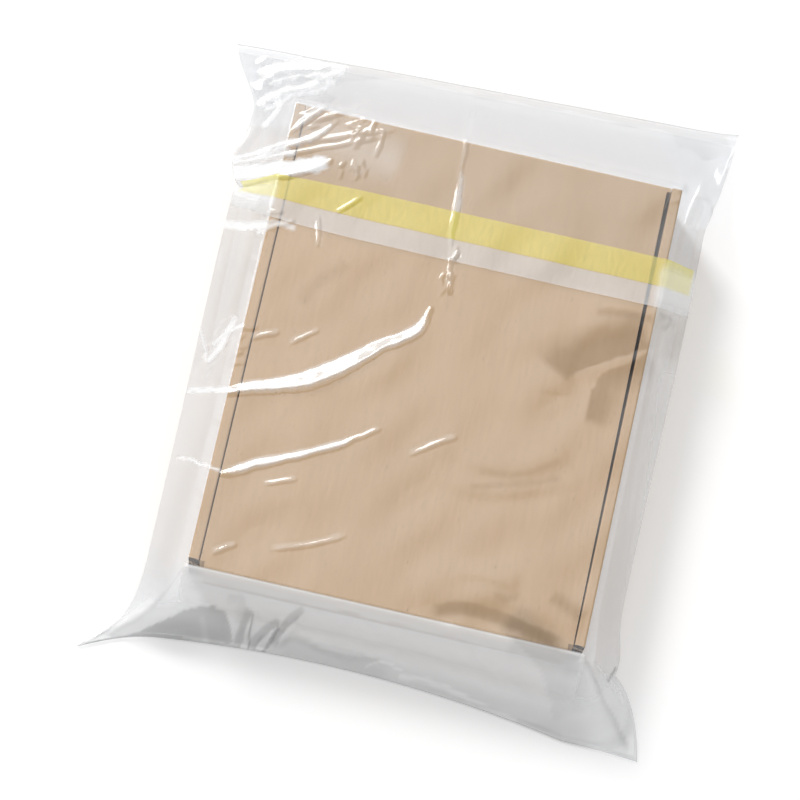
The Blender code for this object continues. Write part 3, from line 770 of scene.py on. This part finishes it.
# %% Painting the film
# A pale band along the carton's front edge; below it a fading painted light over the shaded wall and floor seen through
# the film; on the foot, haze with painted light over the floor that the foot's film shades.
front_band_start = -0.992
pale_band_at_front_edge = 0.76
painted_light_below_edge = 0.60
haze_and_painted_light_at_foot = 0.62
# Painted highlight on the broad creases, and painted reflection on the far side of the creases and ridges.
painted_highlight_on_streaks = 0.35
painted_reflection_beside_streaks = 0.25
painted_reflection_beside_ridges = 0.12
far_side_cover = 1.4
# The share of the painted shade patches that also darkens the film's tint.
painted_shade_tint = 0.30


def stroke(place, path, left, right, strength, firm):
    """How deep a place lies inside a stroke. The firm share of its width has no fade."""
    near, signed, share = distances(place, smooth_path(path) * mm, max(left, right) * mm)
    gap = np.clip(np.where(signed > 0, signed / left, -signed / right) / mm, 0.0, 1.0)
    ends = smooth(share * 10) * smooth((1.0 - share) * 10)
    inside = np.zeros(place.shape[:-1])
    inside[near] = strength * ends * smooth((1.0 - gap) / (1.0 - firm))
    return inside


def paint(mesh, name, measure, parts):
    """Stores a value at each point of the mesh, for its material to read."""
    values = np.concatenate([measure(*part).ravel() for part in parts])
    layer = mesh.attributes.new(name, "FLOAT", "POINT")
    layer.data.foreach_set("value", values.astype(np.float32))


def pressed_and_painted_shade(across, along, is_front):
    """1 where the film mirrors little: under the flap, at the carton's edges, and in the painted shade patches, where
    taking its reflection away paints shade.
    """
    under_flap = (is_front > 0) * smooth((along - y_to_along(flap_end)) * half_length / mm)
    at_edge = (smooth(1.0 - out_share(across, along) / 0.07)
               * smooth((np.maximum(np.abs(across), np.abs(along)) - 0.985) / 0.012))
    place = frayed(floor_plan(across, along), 0.8)
    patches = [stroke(place, *rest) * (is_front > 0) for rest in painted_shade_patches.values()]
    return np.maximum.reduce([under_flap, at_edge] + patches)


def beside_streak(place, path, widths, on_streak, beside):
    """A painted highlight on a streak and a painted reflection on its narrow far side, which stands in for the mirrored
    veil that the far flank loses, so that no dark line runs beside it.
    """
    reach = (max(widths) / 2 + far_side_cover) * mm
    near, signed, share = distances(place, smooth_path(path) * mm, reach)
    to_edge = np.interp(share, np.linspace(0.0, 1.0, len(widths)), widths) / 2 - np.abs(signed) / mm
    inside = np.zeros(place.shape[:-1])
    haze_and_painted_light = beside * smooth(to_edge + far_side_cover) + on_streak * smooth(to_edge)
    inside[near] = haze_and_painted_light * smooth(share * 8) * smooth((1.0 - share) * 8)
    return inside


def haze_and_painted_light_amount(across, along, is_front):
    """How hazy the film is and where light is painted on it: painted highlights and painted reflection in strokes and
    along the creases, a pale band along the carton's front edge, painted light over the shaded floor below that band,
    and haze with painted light on the foot.
    """
    place = frayed(floor_plan(across, along), 0.5)
    share = out_share(across, along) + 0.012 * waves(place, 5, (12, 40))
    at_foot = (is_front > 0) * (along < front_band_start) * smooth((1.05 - np.abs(across)) / 0.08)
    front_band = np.maximum(smooth((0.23 - share) / 0.07) * pale_band_at_front_edge,
                       smooth((0.70 - share) / 0.40) * painted_light_below_edge)
    foot = smooth((share - 0.35) / 0.35) * haze_and_painted_light_at_foot * end_share(across, along) * (along < 0) * (is_front > 0)
    strokes = [stroke(place, *rest) * (is_front >= 0) for rest in painted_light_strokes.values()]
    lines = [(*line, painted_highlight_on_streaks, painted_reflection_beside_streaks) for line in streaks.values()]
    lines += [(line, (reach,), 0.0, painted_reflection_beside_ridges) for line, reach in ridges.values()]
    beside = [beside_streak(place, *line) * (is_front > 0) for line in lines]
    return np.maximum.reduce([front_band * at_foot, foot] + strokes + beside)


def rolled(across, along, is_front):
    """Where the foot's gathered film stops much of the light: half way down to the edge, less at the ears."""
    beside_ears = smooth((1.5 - np.abs(across)) / 0.5)
    return smooth((out_share(across, along) - 0.50) / 0.35) * end_share(across, along) * beside_ears * (along < 0)


def layers_and_painted_shade_at(across, along, is_front):
    """Where the film lies over itself in folds and takes more of the light, and where shade is painted on it: facets,
    pleat lines, margins, ears and the painted shade patches at their own share.
    """
    place = frayed(floor_plan(across, along), 0.5)
    patches = painted_shade_tint * sum(stroke(place, *rest) for rest in painted_shade_patches.values())
    return (sum(stroke(place, *rest) for rest in layers_and_painted_shade.values()) + patches) * (is_front > 0)


def finish_mesh(mesh):
    """Turns the faces to one side and triangulates the ones with many corners."""
    data = bmesh.new()
    data.from_mesh(mesh)
    bmesh.ops.recalc_face_normals(data, faces=data.faces[:])
    many = [face for face in data.faces if len(face.verts) > 4]
    bmesh.ops.triangulate(data, faces=many)
    data.to_mesh(mesh)
    data.free()
    mesh.shade_smooth()
    return mesh


def new_piece(name, mesh):
    piece = bpy.data.objects.new(name, mesh)
    bpy.context.scene.collection.objects.link(piece)
    return piece


bare_film = film_mesh("clear_film_bag")
film_places = ((*np.meshgrid(columns, front_rows), 1.0),
               (*np.meshgrid(columns[::coarse], back_rows), -1.0),
               (*np.meshgrid(columns, flap_rows), 0.0))
# Haze, painted highlights, painted reflection and painted light, for the film's white shader.
paint(bare_film, "haze_and_painted_light", haze_and_painted_light_amount, film_places)
# Layered film and painted shade, for the film's tint.
paint(bare_film, "layers_and_painted_shade", layers_and_painted_shade_at, film_places)
# Where the film mirrors little, with the painted shade patches.
paint(bare_film, "pressed_and_painted_shade", pressed_and_painted_shade, film_places)
paint(bare_film, "rolled", rolled, film_places)
film = new_piece("clear_film_bag", finish_mesh(bare_film))
print("film:", len(film.data.polygons), "faces")

# %% [markdown]
# The two strips.
#
# Both are thin coatings pressed between the front and the flap, so they follow every crease of
# the front. They are made from the same surface, lifted by their own place in the stack.

# %% The adhesive and the liner strip
strip_inset = 0.09


def strip_points(low, high):
    reach = columns[(columns >= strip_inset - 2) & (columns <= 2 - strip_inset)]
    strip_across, strip_along = np.meshgrid(reach, even(y_to_along(low), y_to_along(high), row_step))
    return lifted(front_points(strip_across, strip_along), strip_lift)


def strip_piece(name, low, high):
    points = strip_points(low, high)
    numbers, faces = grid_faces(points, 0)
    mesh = bpy.data.meshes.new(name)
    mesh.from_pydata(points.reshape(-1, 3).tolist(), [], faces)
    return new_piece(name, finish_mesh(mesh))


adhesive = strip_piece("adhesive_band", strip_top - adhesive_width, strip_top)
liner = strip_piece("liner_band", flap_end + strip_gap, flap_end + liner_width)
print("strips:", len(adhesive.data.polygons) + len(liner.data.polygons), "faces")


# %% [markdown]
# Helpers for materials.
#
# A material is a graph of nodes. These two helpers add a node and join two sockets, so that a
# material can be read as a list of what feeds what.

# %% Node helpers
def add_node(tree, kind, **settings):
    node = tree.nodes.new(kind)
    for key, value in settings.items():
        setattr(node, key, value)
    return node


def set_inputs(node, **values):
    for key, value in values.items():
        node.inputs[key.replace("_", " ")].default_value = value
    return node


def new_material(name):
    material = bpy.data.materials.new(name)
    material.use_nodes = True
    material.node_tree.nodes.clear()
    return material, material.node_tree


def wire(tree, source, target):
    tree.links.new(source, target)


# %% [markdown]
# Ripples, one effect for three materials.
#
# Stretched film, adhesive and liner all have fine ripples that run along the sheet's stretch.
# The effect is a group with its own inputs, so each material sets the scale and the stretch that
# suit it.

# %% The ripple group
def ripple_group():
    group = bpy.data.node_groups.new("ripples", "ShaderNodeTree")
    for name, value in (("Scale", 60.0), ("Stretch", 3.0), ("Detail", 3.0)):
        socket = group.interface.new_socket(name, in_out="INPUT", socket_type="NodeSocketFloat")
        socket.default_value = value
    group.interface.new_socket("Height", in_out="OUTPUT", socket_type="NodeSocketFloat")
    start = add_node(group, "NodeGroupInput")
    end = add_node(group, "NodeGroupOutput")
    place = add_node(group, "ShaderNodeTexCoord")
    spread = add_node(group, "ShaderNodeCombineXYZ")
    spread.inputs["Y"].default_value = 1.0
    spread.inputs["Z"].default_value = 1.0
    stretched = add_node(group, "ShaderNodeVectorMath", operation="MULTIPLY")
    noise = add_node(group, "ShaderNodeTexNoise")
    noise.inputs["Distortion"].default_value = 0.6
    wire(group, start.outputs["Stretch"], spread.inputs["X"])
    wire(group, place.outputs["Object"], stretched.inputs[0])
    wire(group, spread.outputs["Vector"], stretched.inputs[1])
    wire(group, stretched.outputs["Vector"], noise.inputs["Vector"])
    wire(group, start.outputs["Scale"], noise.inputs["Scale"])
    wire(group, start.outputs["Detail"], noise.inputs["Detail"])
    wire(group, noise.outputs["Fac"], end.inputs["Height"])
    return group


ripples = ripple_group()


def add_ripples(tree, scale, stretch, detail):
    node = add_node(tree, "ShaderNodeGroup", node_tree=ripples)
    return set_inputs(node, Scale=scale, Stretch=stretch, Detail=detail)


def add_bump(tree, height, strength, distance):
    bump = add_node(tree, "ShaderNodeBump")
    set_inputs(bump, Strength=strength, Distance=distance)
    wire(tree, height, bump.inputs["Height"])
    return bump


# %% [markdown]
# The look of clear film.
#
# Most light goes straight through clear film, so its base is a Transparent shader with a faint
# tint. A little is scattered inside, which makes the film look milky over a dark thing: a small
# share of a plain white shader. And some is mirrored at its two faces, more at a shallow angle.
# That share follows the angle between the view and the surface, which a Layer Weight node
# gives the same from both sides of the sheet. A glass shader would bend the light and is made
# for solid bodies; film this thin doesn't shift what lies behind it.

# %% Film shader
def gloss_share(tree, straight, normal):
    """How much is mirrored: a share straight on, rising to all of it at a grazing view."""
    facing = add_node(tree, "ShaderNodeLayerWeight")
    facing.inputs["Blend"].default_value = 0.5
    wire(tree, normal, facing.inputs["Normal"])
    power = add_node(tree, "ShaderNodeMath", operation="POWER")
    power.inputs[1].default_value = 5.0
    share = add_node(tree, "ShaderNodeMath", operation="MULTIPLY_ADD", use_clamp=True)
    share.inputs[1].default_value = 1.0 - straight
    share.inputs[2].default_value = straight
    wire(tree, facing.outputs["Facing"], power.inputs[0])
    wire(tree, power.outputs["Value"], share.inputs[0])
    return share.outputs["Value"]


def ranged(tree, value, low, high):
    """Turns a value from 0 to 1 into one from low to high."""
    node = add_node(tree, "ShaderNodeMapRange")
    set_inputs(node, To_Min=low, To_Max=high)
    wire(tree, value, node.inputs["Value"])
    return node.outputs["Result"]


def with_haze_and_painted_light(tree, haze):
    """Adds what the mesh carries to an even haze: painted highlights, painted reflection and painted light, and the
    pale front band and the haze of the foot.
    """
    painted = add_node(tree, "ShaderNodeAttribute", attribute_name="haze_and_painted_light")
    both = add_node(tree, "ShaderNodeMath", operation="ADD", use_clamp=True)
    wire(tree, haze, both.inputs[0])
    wire(tree, painted.outputs["Fac"], both.inputs[1])
    return both.outputs["Value"]


def times(tree, first, second):
    node = add_node(tree, "ShaderNodeMath", operation="MULTIPLY")
    wire(tree, first, node.inputs[0])
    wire(tree, second, node.inputs[1])
    return node.outputs["Value"]


def highest(tree, first, second):
    node = add_node(tree, "ShaderNodeMath", operation="MAXIMUM")
    wire(tree, first, node.inputs[0])
    wire(tree, second, node.inputs[1])
    return node.outputs["Value"]


def layered_and_shaded(tree, colour, kept):
    """A colour that goes down to a kept share of itself where the film lies over itself and where shade is painted."""
    painted = add_node(tree, "ShaderNodeAttribute", attribute_name="layers_and_painted_shade")
    mix = add_node(tree, "ShaderNodeMix", data_type="RGBA")
    mix.inputs["A"].default_value = (*colour, 1.0)
    mix.inputs["B"].default_value = (*(value * kept for value in colour), 1.0)
    wire(tree, painted.outputs["Fac"], mix.inputs["Factor"])
    return mix.outputs["Result"]


def shaded_tint(tree, tint):
    """The film's tint, darker where the film lies over itself and where shade is painted, and much darker for the light
    that passes through the gathered foot.
    """
    shaded = add_node(tree, "ShaderNodeMix", data_type="RGBA")
    shaded.inputs["B"].default_value = (*(value * rolled_pass for value in tint), 1.0)
    gathered = add_node(tree, "ShaderNodeAttribute", attribute_name="rolled")
    wire(tree, times(tree, gathered.outputs["Fac"], passing_ray(tree)), shaded.inputs["Factor"])
    wire(tree, layered_and_shaded(tree, tint, 0.45), shaded.inputs["A"])
    return shaded.outputs["Result"]


def free_share(tree):
    """1 where the film has air above it, less where it lies against the flap or the carton's edges and in the painted
    shade patches.
    """
    painted = add_node(tree, "ShaderNodeAttribute", attribute_name="pressed_and_painted_shade")
    return ranged(tree, painted.outputs["Fac"], 1.0, 0.15)


kept_for_light = 0.15
rolled_pass = 0.12


def passing_ray(tree):
    """1 for light that only passes on its way down, 0 where the film is looked at."""
    ray = add_node(tree, "ShaderNodeLightPath")
    passing = add_node(tree, "ShaderNodeMath", operation="MAXIMUM")
    wire(tree, ray.outputs["Is Shadow Ray"], passing.inputs[0])
    wire(tree, ray.outputs["Is Diffuse Ray"], passing.inputs[1])
    return passing.outputs["Value"]


def seen_share(tree):
    """1 where the film is looked at, and little where light only passes on its way down."""
    return ranged(tree, passing_ray(tree), 1.0, kept_for_light)


def film_like(name, tint, haze_colour, haze, gloss, gloss_roughness, scale, stretch, depth):
    """Clear film: transparent, with a share of haze and a share of gloss."""
    material, tree = new_material(name)
    ripple = add_ripples(tree, scale, stretch, 3.0)
    bump = add_bump(tree, ripple.outputs["Height"], 1.0, depth)
    through = add_node(tree, "ShaderNodeBsdfTransparent")
    wire(tree, shaded_tint(tree, tint), through.inputs["Color"])
    # This white shader shows the film's haze and also the painted highlights, painted reflection and painted light that
    # the mesh carries; its colour takes the painted shade.
    haze_and_painted_light = add_node(tree, "ShaderNodeBsdfPrincipled")
    wire(tree, layered_and_shaded(tree, haze_colour, 0.55), haze_and_painted_light.inputs["Base Color"])
    haze_and_painted_light.inputs["Roughness"].default_value = 0.6
    haze_and_painted_light.inputs["Specular IOR Level"].default_value = 0.0
    mirror = add_node(tree, "ShaderNodeBsdfGlossy")
    mirror.inputs["Roughness"].default_value = gloss_roughness
    body = add_node(tree, "ShaderNodeMixShader")
    whole = add_node(tree, "ShaderNodeMixShader")
    end = add_node(tree, "ShaderNodeOutputMaterial")
    wire(tree, bump.outputs["Normal"], haze_and_painted_light.inputs["Normal"])
    wire(tree, bump.outputs["Normal"], mirror.inputs["Normal"])
    seen = seen_share(tree)
    haze_and_painted_share = with_haze_and_painted_light(tree, ranged(tree, ripple.outputs["Height"], *haze))
    wire(tree, times(tree, haze_and_painted_share, seen), body.inputs["Fac"])
    wire(tree, through.outputs["BSDF"], body.inputs[1])
    wire(tree, haze_and_painted_light.outputs["BSDF"], body.inputs[2])
    mirrored = times(tree, gloss_share(tree, gloss, bump.outputs["Normal"]), seen)
    wire(tree, times(tree, mirrored, free_share(tree)), whole.inputs["Fac"])
    wire(tree, body.outputs["Shader"], whole.inputs[1])
    wire(tree, mirror.outputs["BSDF"], whole.inputs[2])
    wire(tree, whole.outputs["Shader"], end.inputs["Surface"])
    return material


film_material = film_like("clear film", tint=(0.954, 0.959, 0.966), haze_colour=(0.93, 0.93, 0.932),
                          haze=(0.012, 0.030), gloss=0.09, gloss_roughness=0.09,
                          scale=55.0, stretch=2.0, depth=0.03 * mm)
adhesive_material = film_like("yellow adhesive", tint=(0.97, 0.95, 0.60),
                              haze_colour=(0.98, 0.86, 0.16), haze=(0.34, 0.55), gloss=0.02,
                              gloss_roughness=0.45, scale=110.0, stretch=4.0, depth=0.10 * mm)
liner_material = film_like("white liner", tint=(0.95, 0.95, 0.95), haze_colour=(0.95, 0.94, 0.93),
                           haze=(0.30, 0.42), gloss=0.02, gloss_roughness=0.5,
                           scale=90.0, stretch=4.0, depth=0.06 * mm)
film.data.materials.append(film_material)
adhesive.data.materials.append(adhesive_material)
liner.data.materials.append(liner_material)

# %% [markdown]
# Kraft board.
#
# Brown kraft liner is made of long fibres that lie mostly along the paper machine's run, with
# paler and darker flecks. Under a tight liner the flutes of the board show as very faint lines.
# On the board's cut edges the wavy middle layer shows as a row of small openings, whose darkness is painted shade.

# %% The fibre group
def fibre_group():
    group = bpy.data.node_groups.new("paper fibres", "ShaderNodeTree")
    for name, value in (("Scale", 300.0), ("Stretch", 0.2)):
        socket = group.interface.new_socket(name, in_out="INPUT", socket_type="NodeSocketFloat")
        socket.default_value = value
    group.interface.new_socket("Mask", in_out="OUTPUT", socket_type="NodeSocketFloat")
    start = add_node(group, "NodeGroupInput")
    end = add_node(group, "NodeGroupOutput")
    place = add_node(group, "ShaderNodeTexCoord")
    spread = add_node(group, "ShaderNodeCombineXYZ")
    spread.inputs["X"].default_value = 1.0
    spread.inputs["Z"].default_value = 1.0
    stretched = add_node(group, "ShaderNodeVectorMath", operation="MULTIPLY")
    noise = add_node(group, "ShaderNodeTexNoise")
    noise.inputs["Detail"].default_value = 4.0
    noise.inputs["Roughness"].default_value = 0.6
    wire(group, start.outputs["Stretch"], spread.inputs["Y"])
    wire(group, place.outputs["Object"], stretched.inputs[0])
    wire(group, spread.outputs["Vector"], stretched.inputs[1])
    wire(group, stretched.outputs["Vector"], noise.inputs["Vector"])
    wire(group, start.outputs["Scale"], noise.inputs["Scale"])
    wire(group, noise.outputs["Fac"], end.inputs["Mask"])
    return group


fibres = fibre_group()


def add_fibres(tree, scale, stretch):
    return set_inputs(add_node(tree, "ShaderNodeGroup", node_tree=fibres), Scale=scale, Stretch=stretch)


# %% Kraft shader
kraft_dark = (0.55, 0.372, 0.214, 1.0)
kraft_light = (0.63, 0.432, 0.262, 1.0)
flute_pitch = 6.4 * mm
rolled_wall = 7.0 * mm


def tone(tree, mask, low, high, first, second):
    """A colour that goes from the first to the second as a mask goes from low to high."""
    ramp = add_node(tree, "ShaderNodeValToRGB")
    ramp.color_ramp.elements[0].position = low
    ramp.color_ramp.elements[1].position = high
    ramp.color_ramp.elements[0].color = first
    ramp.color_ramp.elements[1].color = second
    wire(tree, mask, ramp.inputs["Fac"])
    return ramp.outputs["Color"]


def compared(tree, value, operation, limit):
    node = add_node(tree, "ShaderNodeMath", operation=operation)
    node.inputs[1].default_value = limit
    wire(tree, value, node.inputs[0])
    return node.outputs["Value"]


def cut_end(tree):
    """1 on the front ends of the two rolled side walls, where the board's edge is open."""
    place = add_node(tree, "ShaderNodeNewGeometry")
    spot = add_node(tree, "ShaderNodeSeparateXYZ")
    facing = add_node(tree, "ShaderNodeSeparateXYZ")
    wire(tree, place.outputs["Position"], spot.inputs["Vector"])
    wire(tree, place.outputs["Normal"], facing.inputs["Vector"])
    side = compared(tree, spot.outputs["X"], "ABSOLUTE", 0.0)
    at_side = compared(tree, side, "GREATER_THAN", carton_high.x - rolled_wall)
    to_foot = compared(tree, facing.outputs["Y"], "LESS_THAN", -0.7)
    at_foot = compared(tree, spot.outputs["Y"], "LESS_THAN", carton_low.y + rolled_wall)
    return times(tree, times(tree, at_side, to_foot), at_foot)


def flute_ends_painted_shade(tree):
    """Painted shade in the openings between the paler waves of the board's middle layer."""
    place = add_node(tree, "ShaderNodeTexCoord")
    wave = add_node(tree, "ShaderNodeTexWave", bands_direction="DIAGONAL")
    set_inputs(wave, Scale=38.0, Distortion=3.0, Detail=1.0)
    wire(tree, place.outputs["Object"], wave.inputs["Vector"])
    return tone(tree, wave.outputs["Fac"], 0.55, 0.90, (0.035, 0.026, 0.020, 1.0), (0.40, 0.30, 0.21, 1.0))


def mixed_colour(tree, share, first, second, kind="MIX"):
    node = add_node(tree, "ShaderNodeMix", data_type="RGBA", blend_type=kind)
    if isinstance(share, float):
        node.inputs["Factor"].default_value = share
    else:
        wire(tree, share, node.inputs["Factor"])
    wire(tree, first, node.inputs["A"])
    wire(tree, second, node.inputs["B"])
    return node.outputs["Result"]


def kraft_board():
    material, tree = new_material("kraft board")
    fine = add_fibres(tree, 420.0, 0.12)
    broad = add_fibres(tree, 22.0, 0.6)
    specks = add_fibres(tree, 900.0, 0.35)
    fibre_tone = tone(tree, fine.outputs["Mask"], 0.30, 0.72, kraft_dark, kraft_light)
    broad_tone = tone(tree, broad.outputs["Mask"], 0.35, 0.70, kraft_dark, kraft_light)
    speck_tone = tone(tree, specks.outputs["Mask"], 0.28, 0.36, (0.62, 0.60, 0.58, 1.0), (1, 1, 1, 1))
    colour = mixed_colour(tree, 0.40, fibre_tone, broad_tone)
    colour = mixed_colour(tree, 1.0, colour, speck_tone, "MULTIPLY")
    # Painted shade in the open flutes on the cut ends of the rolled side walls.
    colour = mixed_colour(tree, cut_end(tree), colour, flute_ends_painted_shade(tree))
    place = add_node(tree, "ShaderNodeTexCoord")
    flutes = add_node(tree, "ShaderNodeTexWave", bands_direction="X")
    flutes.inputs["Scale"].default_value = 2 * math.pi / flute_pitch / 20
    flutes.inputs["Distortion"].default_value = 0.0
    wire(tree, place.outputs["Object"], flutes.inputs["Vector"])
    height = add_node(tree, "ShaderNodeMath", operation="MULTIPLY_ADD")
    height.inputs[1].default_value = 0.25
    wire(tree, fine.outputs["Mask"], height.inputs[0])
    wire(tree, flutes.outputs["Fac"], height.inputs[2])
    bump = add_bump(tree, height.outputs["Value"], 0.5, 0.025 * mm)
    board = add_node(tree, "ShaderNodeBsdfPrincipled")
    board.inputs["Specular IOR Level"].default_value = 0.2
    end = add_node(tree, "ShaderNodeOutputMaterial")
    wire(tree, colour, board.inputs["Base Color"])
    wire(tree, ranged(tree, fine.outputs["Mask"], 0.78, 0.95), board.inputs["Roughness"])
    wire(tree, bump.outputs["Normal"], board.inputs["Normal"])
    wire(tree, board.outputs["BSDF"], end.inputs["Surface"])
    return material


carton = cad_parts["mailer_carton"]
kraft = kraft_board()
for slot in carton.material_slots:
    slot.material = kraft
print("carton slots:", len(carton.material_slots))

# %% [markdown]
# Who replaces what.
#
# The imported model keeps a plain closed body for the film and for each strip. The new surfaces
# stand for them and ride on the same body, and the plain bodies are hidden.

# %% Riding and replacing
for piece, node, slot in ((film, "film_bag", "clear_film"), (adhesive, "adhesive_strip", "adhesive"),
                          (liner, "liner_strip", "liner")):
    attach(piece, "root")
    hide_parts(node)

# %% [markdown]
# Light, floor and room.
#
# Clear film needs something to mirror. One long soft lamp hangs at the upper left and makes the
# white streaks. The room around is a soft white that grows dimmer towards the foot and the
# right, so that slopes that face that way turn grey. The floor is plain white.

# %% The floor
def floor_material():
    material, tree = new_material("studio floor")
    paper = add_node(tree, "ShaderNodeBsdfDiffuse")
    paper.inputs["Color"].default_value = (0.88, 0.88, 0.88, 1.0)
    glow = add_node(tree, "ShaderNodeEmission")
    ray = add_node(tree, "ShaderNodeLightPath")
    looked = highest(tree, ray.outputs["Is Camera Ray"], ray.outputs["Is Transmission Ray"])
    seen = add_node(tree, "ShaderNodeMath", operation="MULTIPLY")
    seen.inputs[1].default_value = 0.19
    both = add_node(tree, "ShaderNodeAddShader")
    end = add_node(tree, "ShaderNodeOutputMaterial")
    wire(tree, highest(tree, looked, ray.outputs["Is Glossy Ray"]), seen.inputs[0])
    wire(tree, seen.outputs["Value"], glow.inputs["Strength"])
    wire(tree, paper.outputs["BSDF"], both.inputs[0])
    wire(tree, glow.outputs["Emission"], both.inputs[1])
    wire(tree, both.outputs["Shader"], end.inputs["Surface"])
    return material


floor_half = 6.0
floor_data = bmesh.new()
bmesh.ops.create_grid(floor_data, x_segments=1, y_segments=1, size=floor_half)
floor_mesh = bpy.data.meshes.new("studio_floor")
floor_data.to_mesh(floor_mesh)
floor_data.free()
floor = new_piece("studio_floor", floor_mesh)
floor.data.materials.append(floor_material())

# %% The lamps
lamp_low_end = Vector((-0.56, 0.27, 0.78))
lamp_high_end = Vector((-0.12, 0.72, 0.68))
lamp_distance = 5.0
lamp_long = 3.9
lamp_short = 1.25
lamp_radiance = 9.0
shade_way = Vector((-0.52, 0.56, 0.57)).normalized()
shade_size = 1.1
shade_power = 138.0


def area_lamp(name, way, long_side, sizes, power):
    """A rectangular lamp in a direction, with its long side along another direction."""
    data = bpy.data.lights.new(name, "AREA")
    data.shape = "RECTANGLE"
    data.size, data.size_y = sizes
    data.energy = power
    lamp = bpy.data.objects.new(name, data)
    bpy.context.scene.collection.objects.link(lamp)
    across = way.cross(long_side).normalized()
    lamp.matrix_world = Matrix.Translation(way * lamp_distance) @ Matrix(
        (across.cross(way), across, way)).transposed().to_4x4()
    print(name, "power", round(power, 1))
    return lamp


mirrored_lamp = area_lamp("mirrored_lamp", (lamp_low_end + lamp_high_end).normalized(),
                          lamp_high_end - lamp_low_end, (lamp_long, lamp_short),
                          lamp_radiance * math.pi * lamp_long * lamp_short)
mirrored_lamp.visible_diffuse = False
shading_lamp = area_lamp("shading_lamp", shade_way, Vector((1.0, 1.0, 0.0)), (shade_size, shade_size),
                         shade_power)
shading_lamp.visible_glossy = False

# %% The room
fill_level = 0.85
ceiling_level = 2.4
foot_level = 0.12
head_level = 0.60
glow_level = 1.2
ceiling_way = Vector((-0.30, 0.38, 0.87)).normalized()
head_way = Vector((-0.35, 0.80, 0.0)).normalized()
ceiling_edge = (math.cos(math.radians(36)), math.cos(math.radians(12)))
right_way = Vector((1.0, -0.1, 0.0)).normalized()
foot_way = Vector((0.5, -0.87, 0.0)).normalized()


def towards(tree, way, direction):
    """How far a direction of the room points the given way, from -1 to 1."""
    node = add_node(tree, "ShaderNodeVectorMath", operation="DOT_PRODUCT")
    node.inputs[1].default_value = direction
    wire(tree, way.outputs["Generated"], node.inputs[0])
    return node.outputs["Value"]


def level_between(tree, value, edges, levels):
    node = add_node(tree, "ShaderNodeMapRange", interpolation_type="SMOOTHSTEP")
    set_inputs(node, From_Min=edges[0], From_Max=edges[1], To_Min=levels[0], To_Max=levels[1])
    wire(tree, value, node.inputs["Value"])
    return node.outputs["Result"]


def build_room():
    world = bpy.data.worlds.new("studio room")
    world.use_nodes = True
    tree = world.node_tree
    tree.nodes.clear()
    way = add_node(tree, "ShaderNodeTexCoord")
    walls = level_between(tree, towards(tree, way, head_way), (-0.7, 0.8), (foot_level, head_level))
    ceiling = level_between(tree, towards(tree, way, ceiling_way), ceiling_edge, (0.0, ceiling_level))
    right = level_between(tree, towards(tree, way, right_way), (0.50, 0.85), (0.0, glow_level))
    foot = level_between(tree, towards(tree, way, foot_way), (0.50, 0.80), (0.0, glow_level))
    total = highest(tree, highest(tree, walls, ceiling), highest(tree, right, foot))
    room = add_node(tree, "ShaderNodeBackground")
    fill = add_node(tree, "ShaderNodeBackground")
    fill.inputs["Strength"].default_value = fill_level
    white = add_node(tree, "ShaderNodeBackground")
    ray = add_node(tree, "ShaderNodeLightPath")
    lit = add_node(tree, "ShaderNodeMixShader")
    choose = add_node(tree, "ShaderNodeMixShader")
    end = add_node(tree, "ShaderNodeOutputWorld")
    wire(tree, total, room.inputs["Strength"])
    wire(tree, ray.outputs["Is Glossy Ray"], lit.inputs["Fac"])
    wire(tree, fill.outputs["Background"], lit.inputs[1])
    wire(tree, room.outputs["Background"], lit.inputs[2])
    looked = highest(tree, ray.outputs["Is Camera Ray"], ray.outputs["Is Transmission Ray"])
    wire(tree, looked, choose.inputs["Fac"])
    wire(tree, lit.outputs["Shader"], choose.inputs[1])
    wire(tree, white.outputs["Background"], choose.inputs[2])
    wire(tree, choose.outputs["Shader"], end.inputs["Surface"])
    return world


bpy.context.scene.world = build_room()
bpy.context.scene.view_settings.view_transform = "Standard"
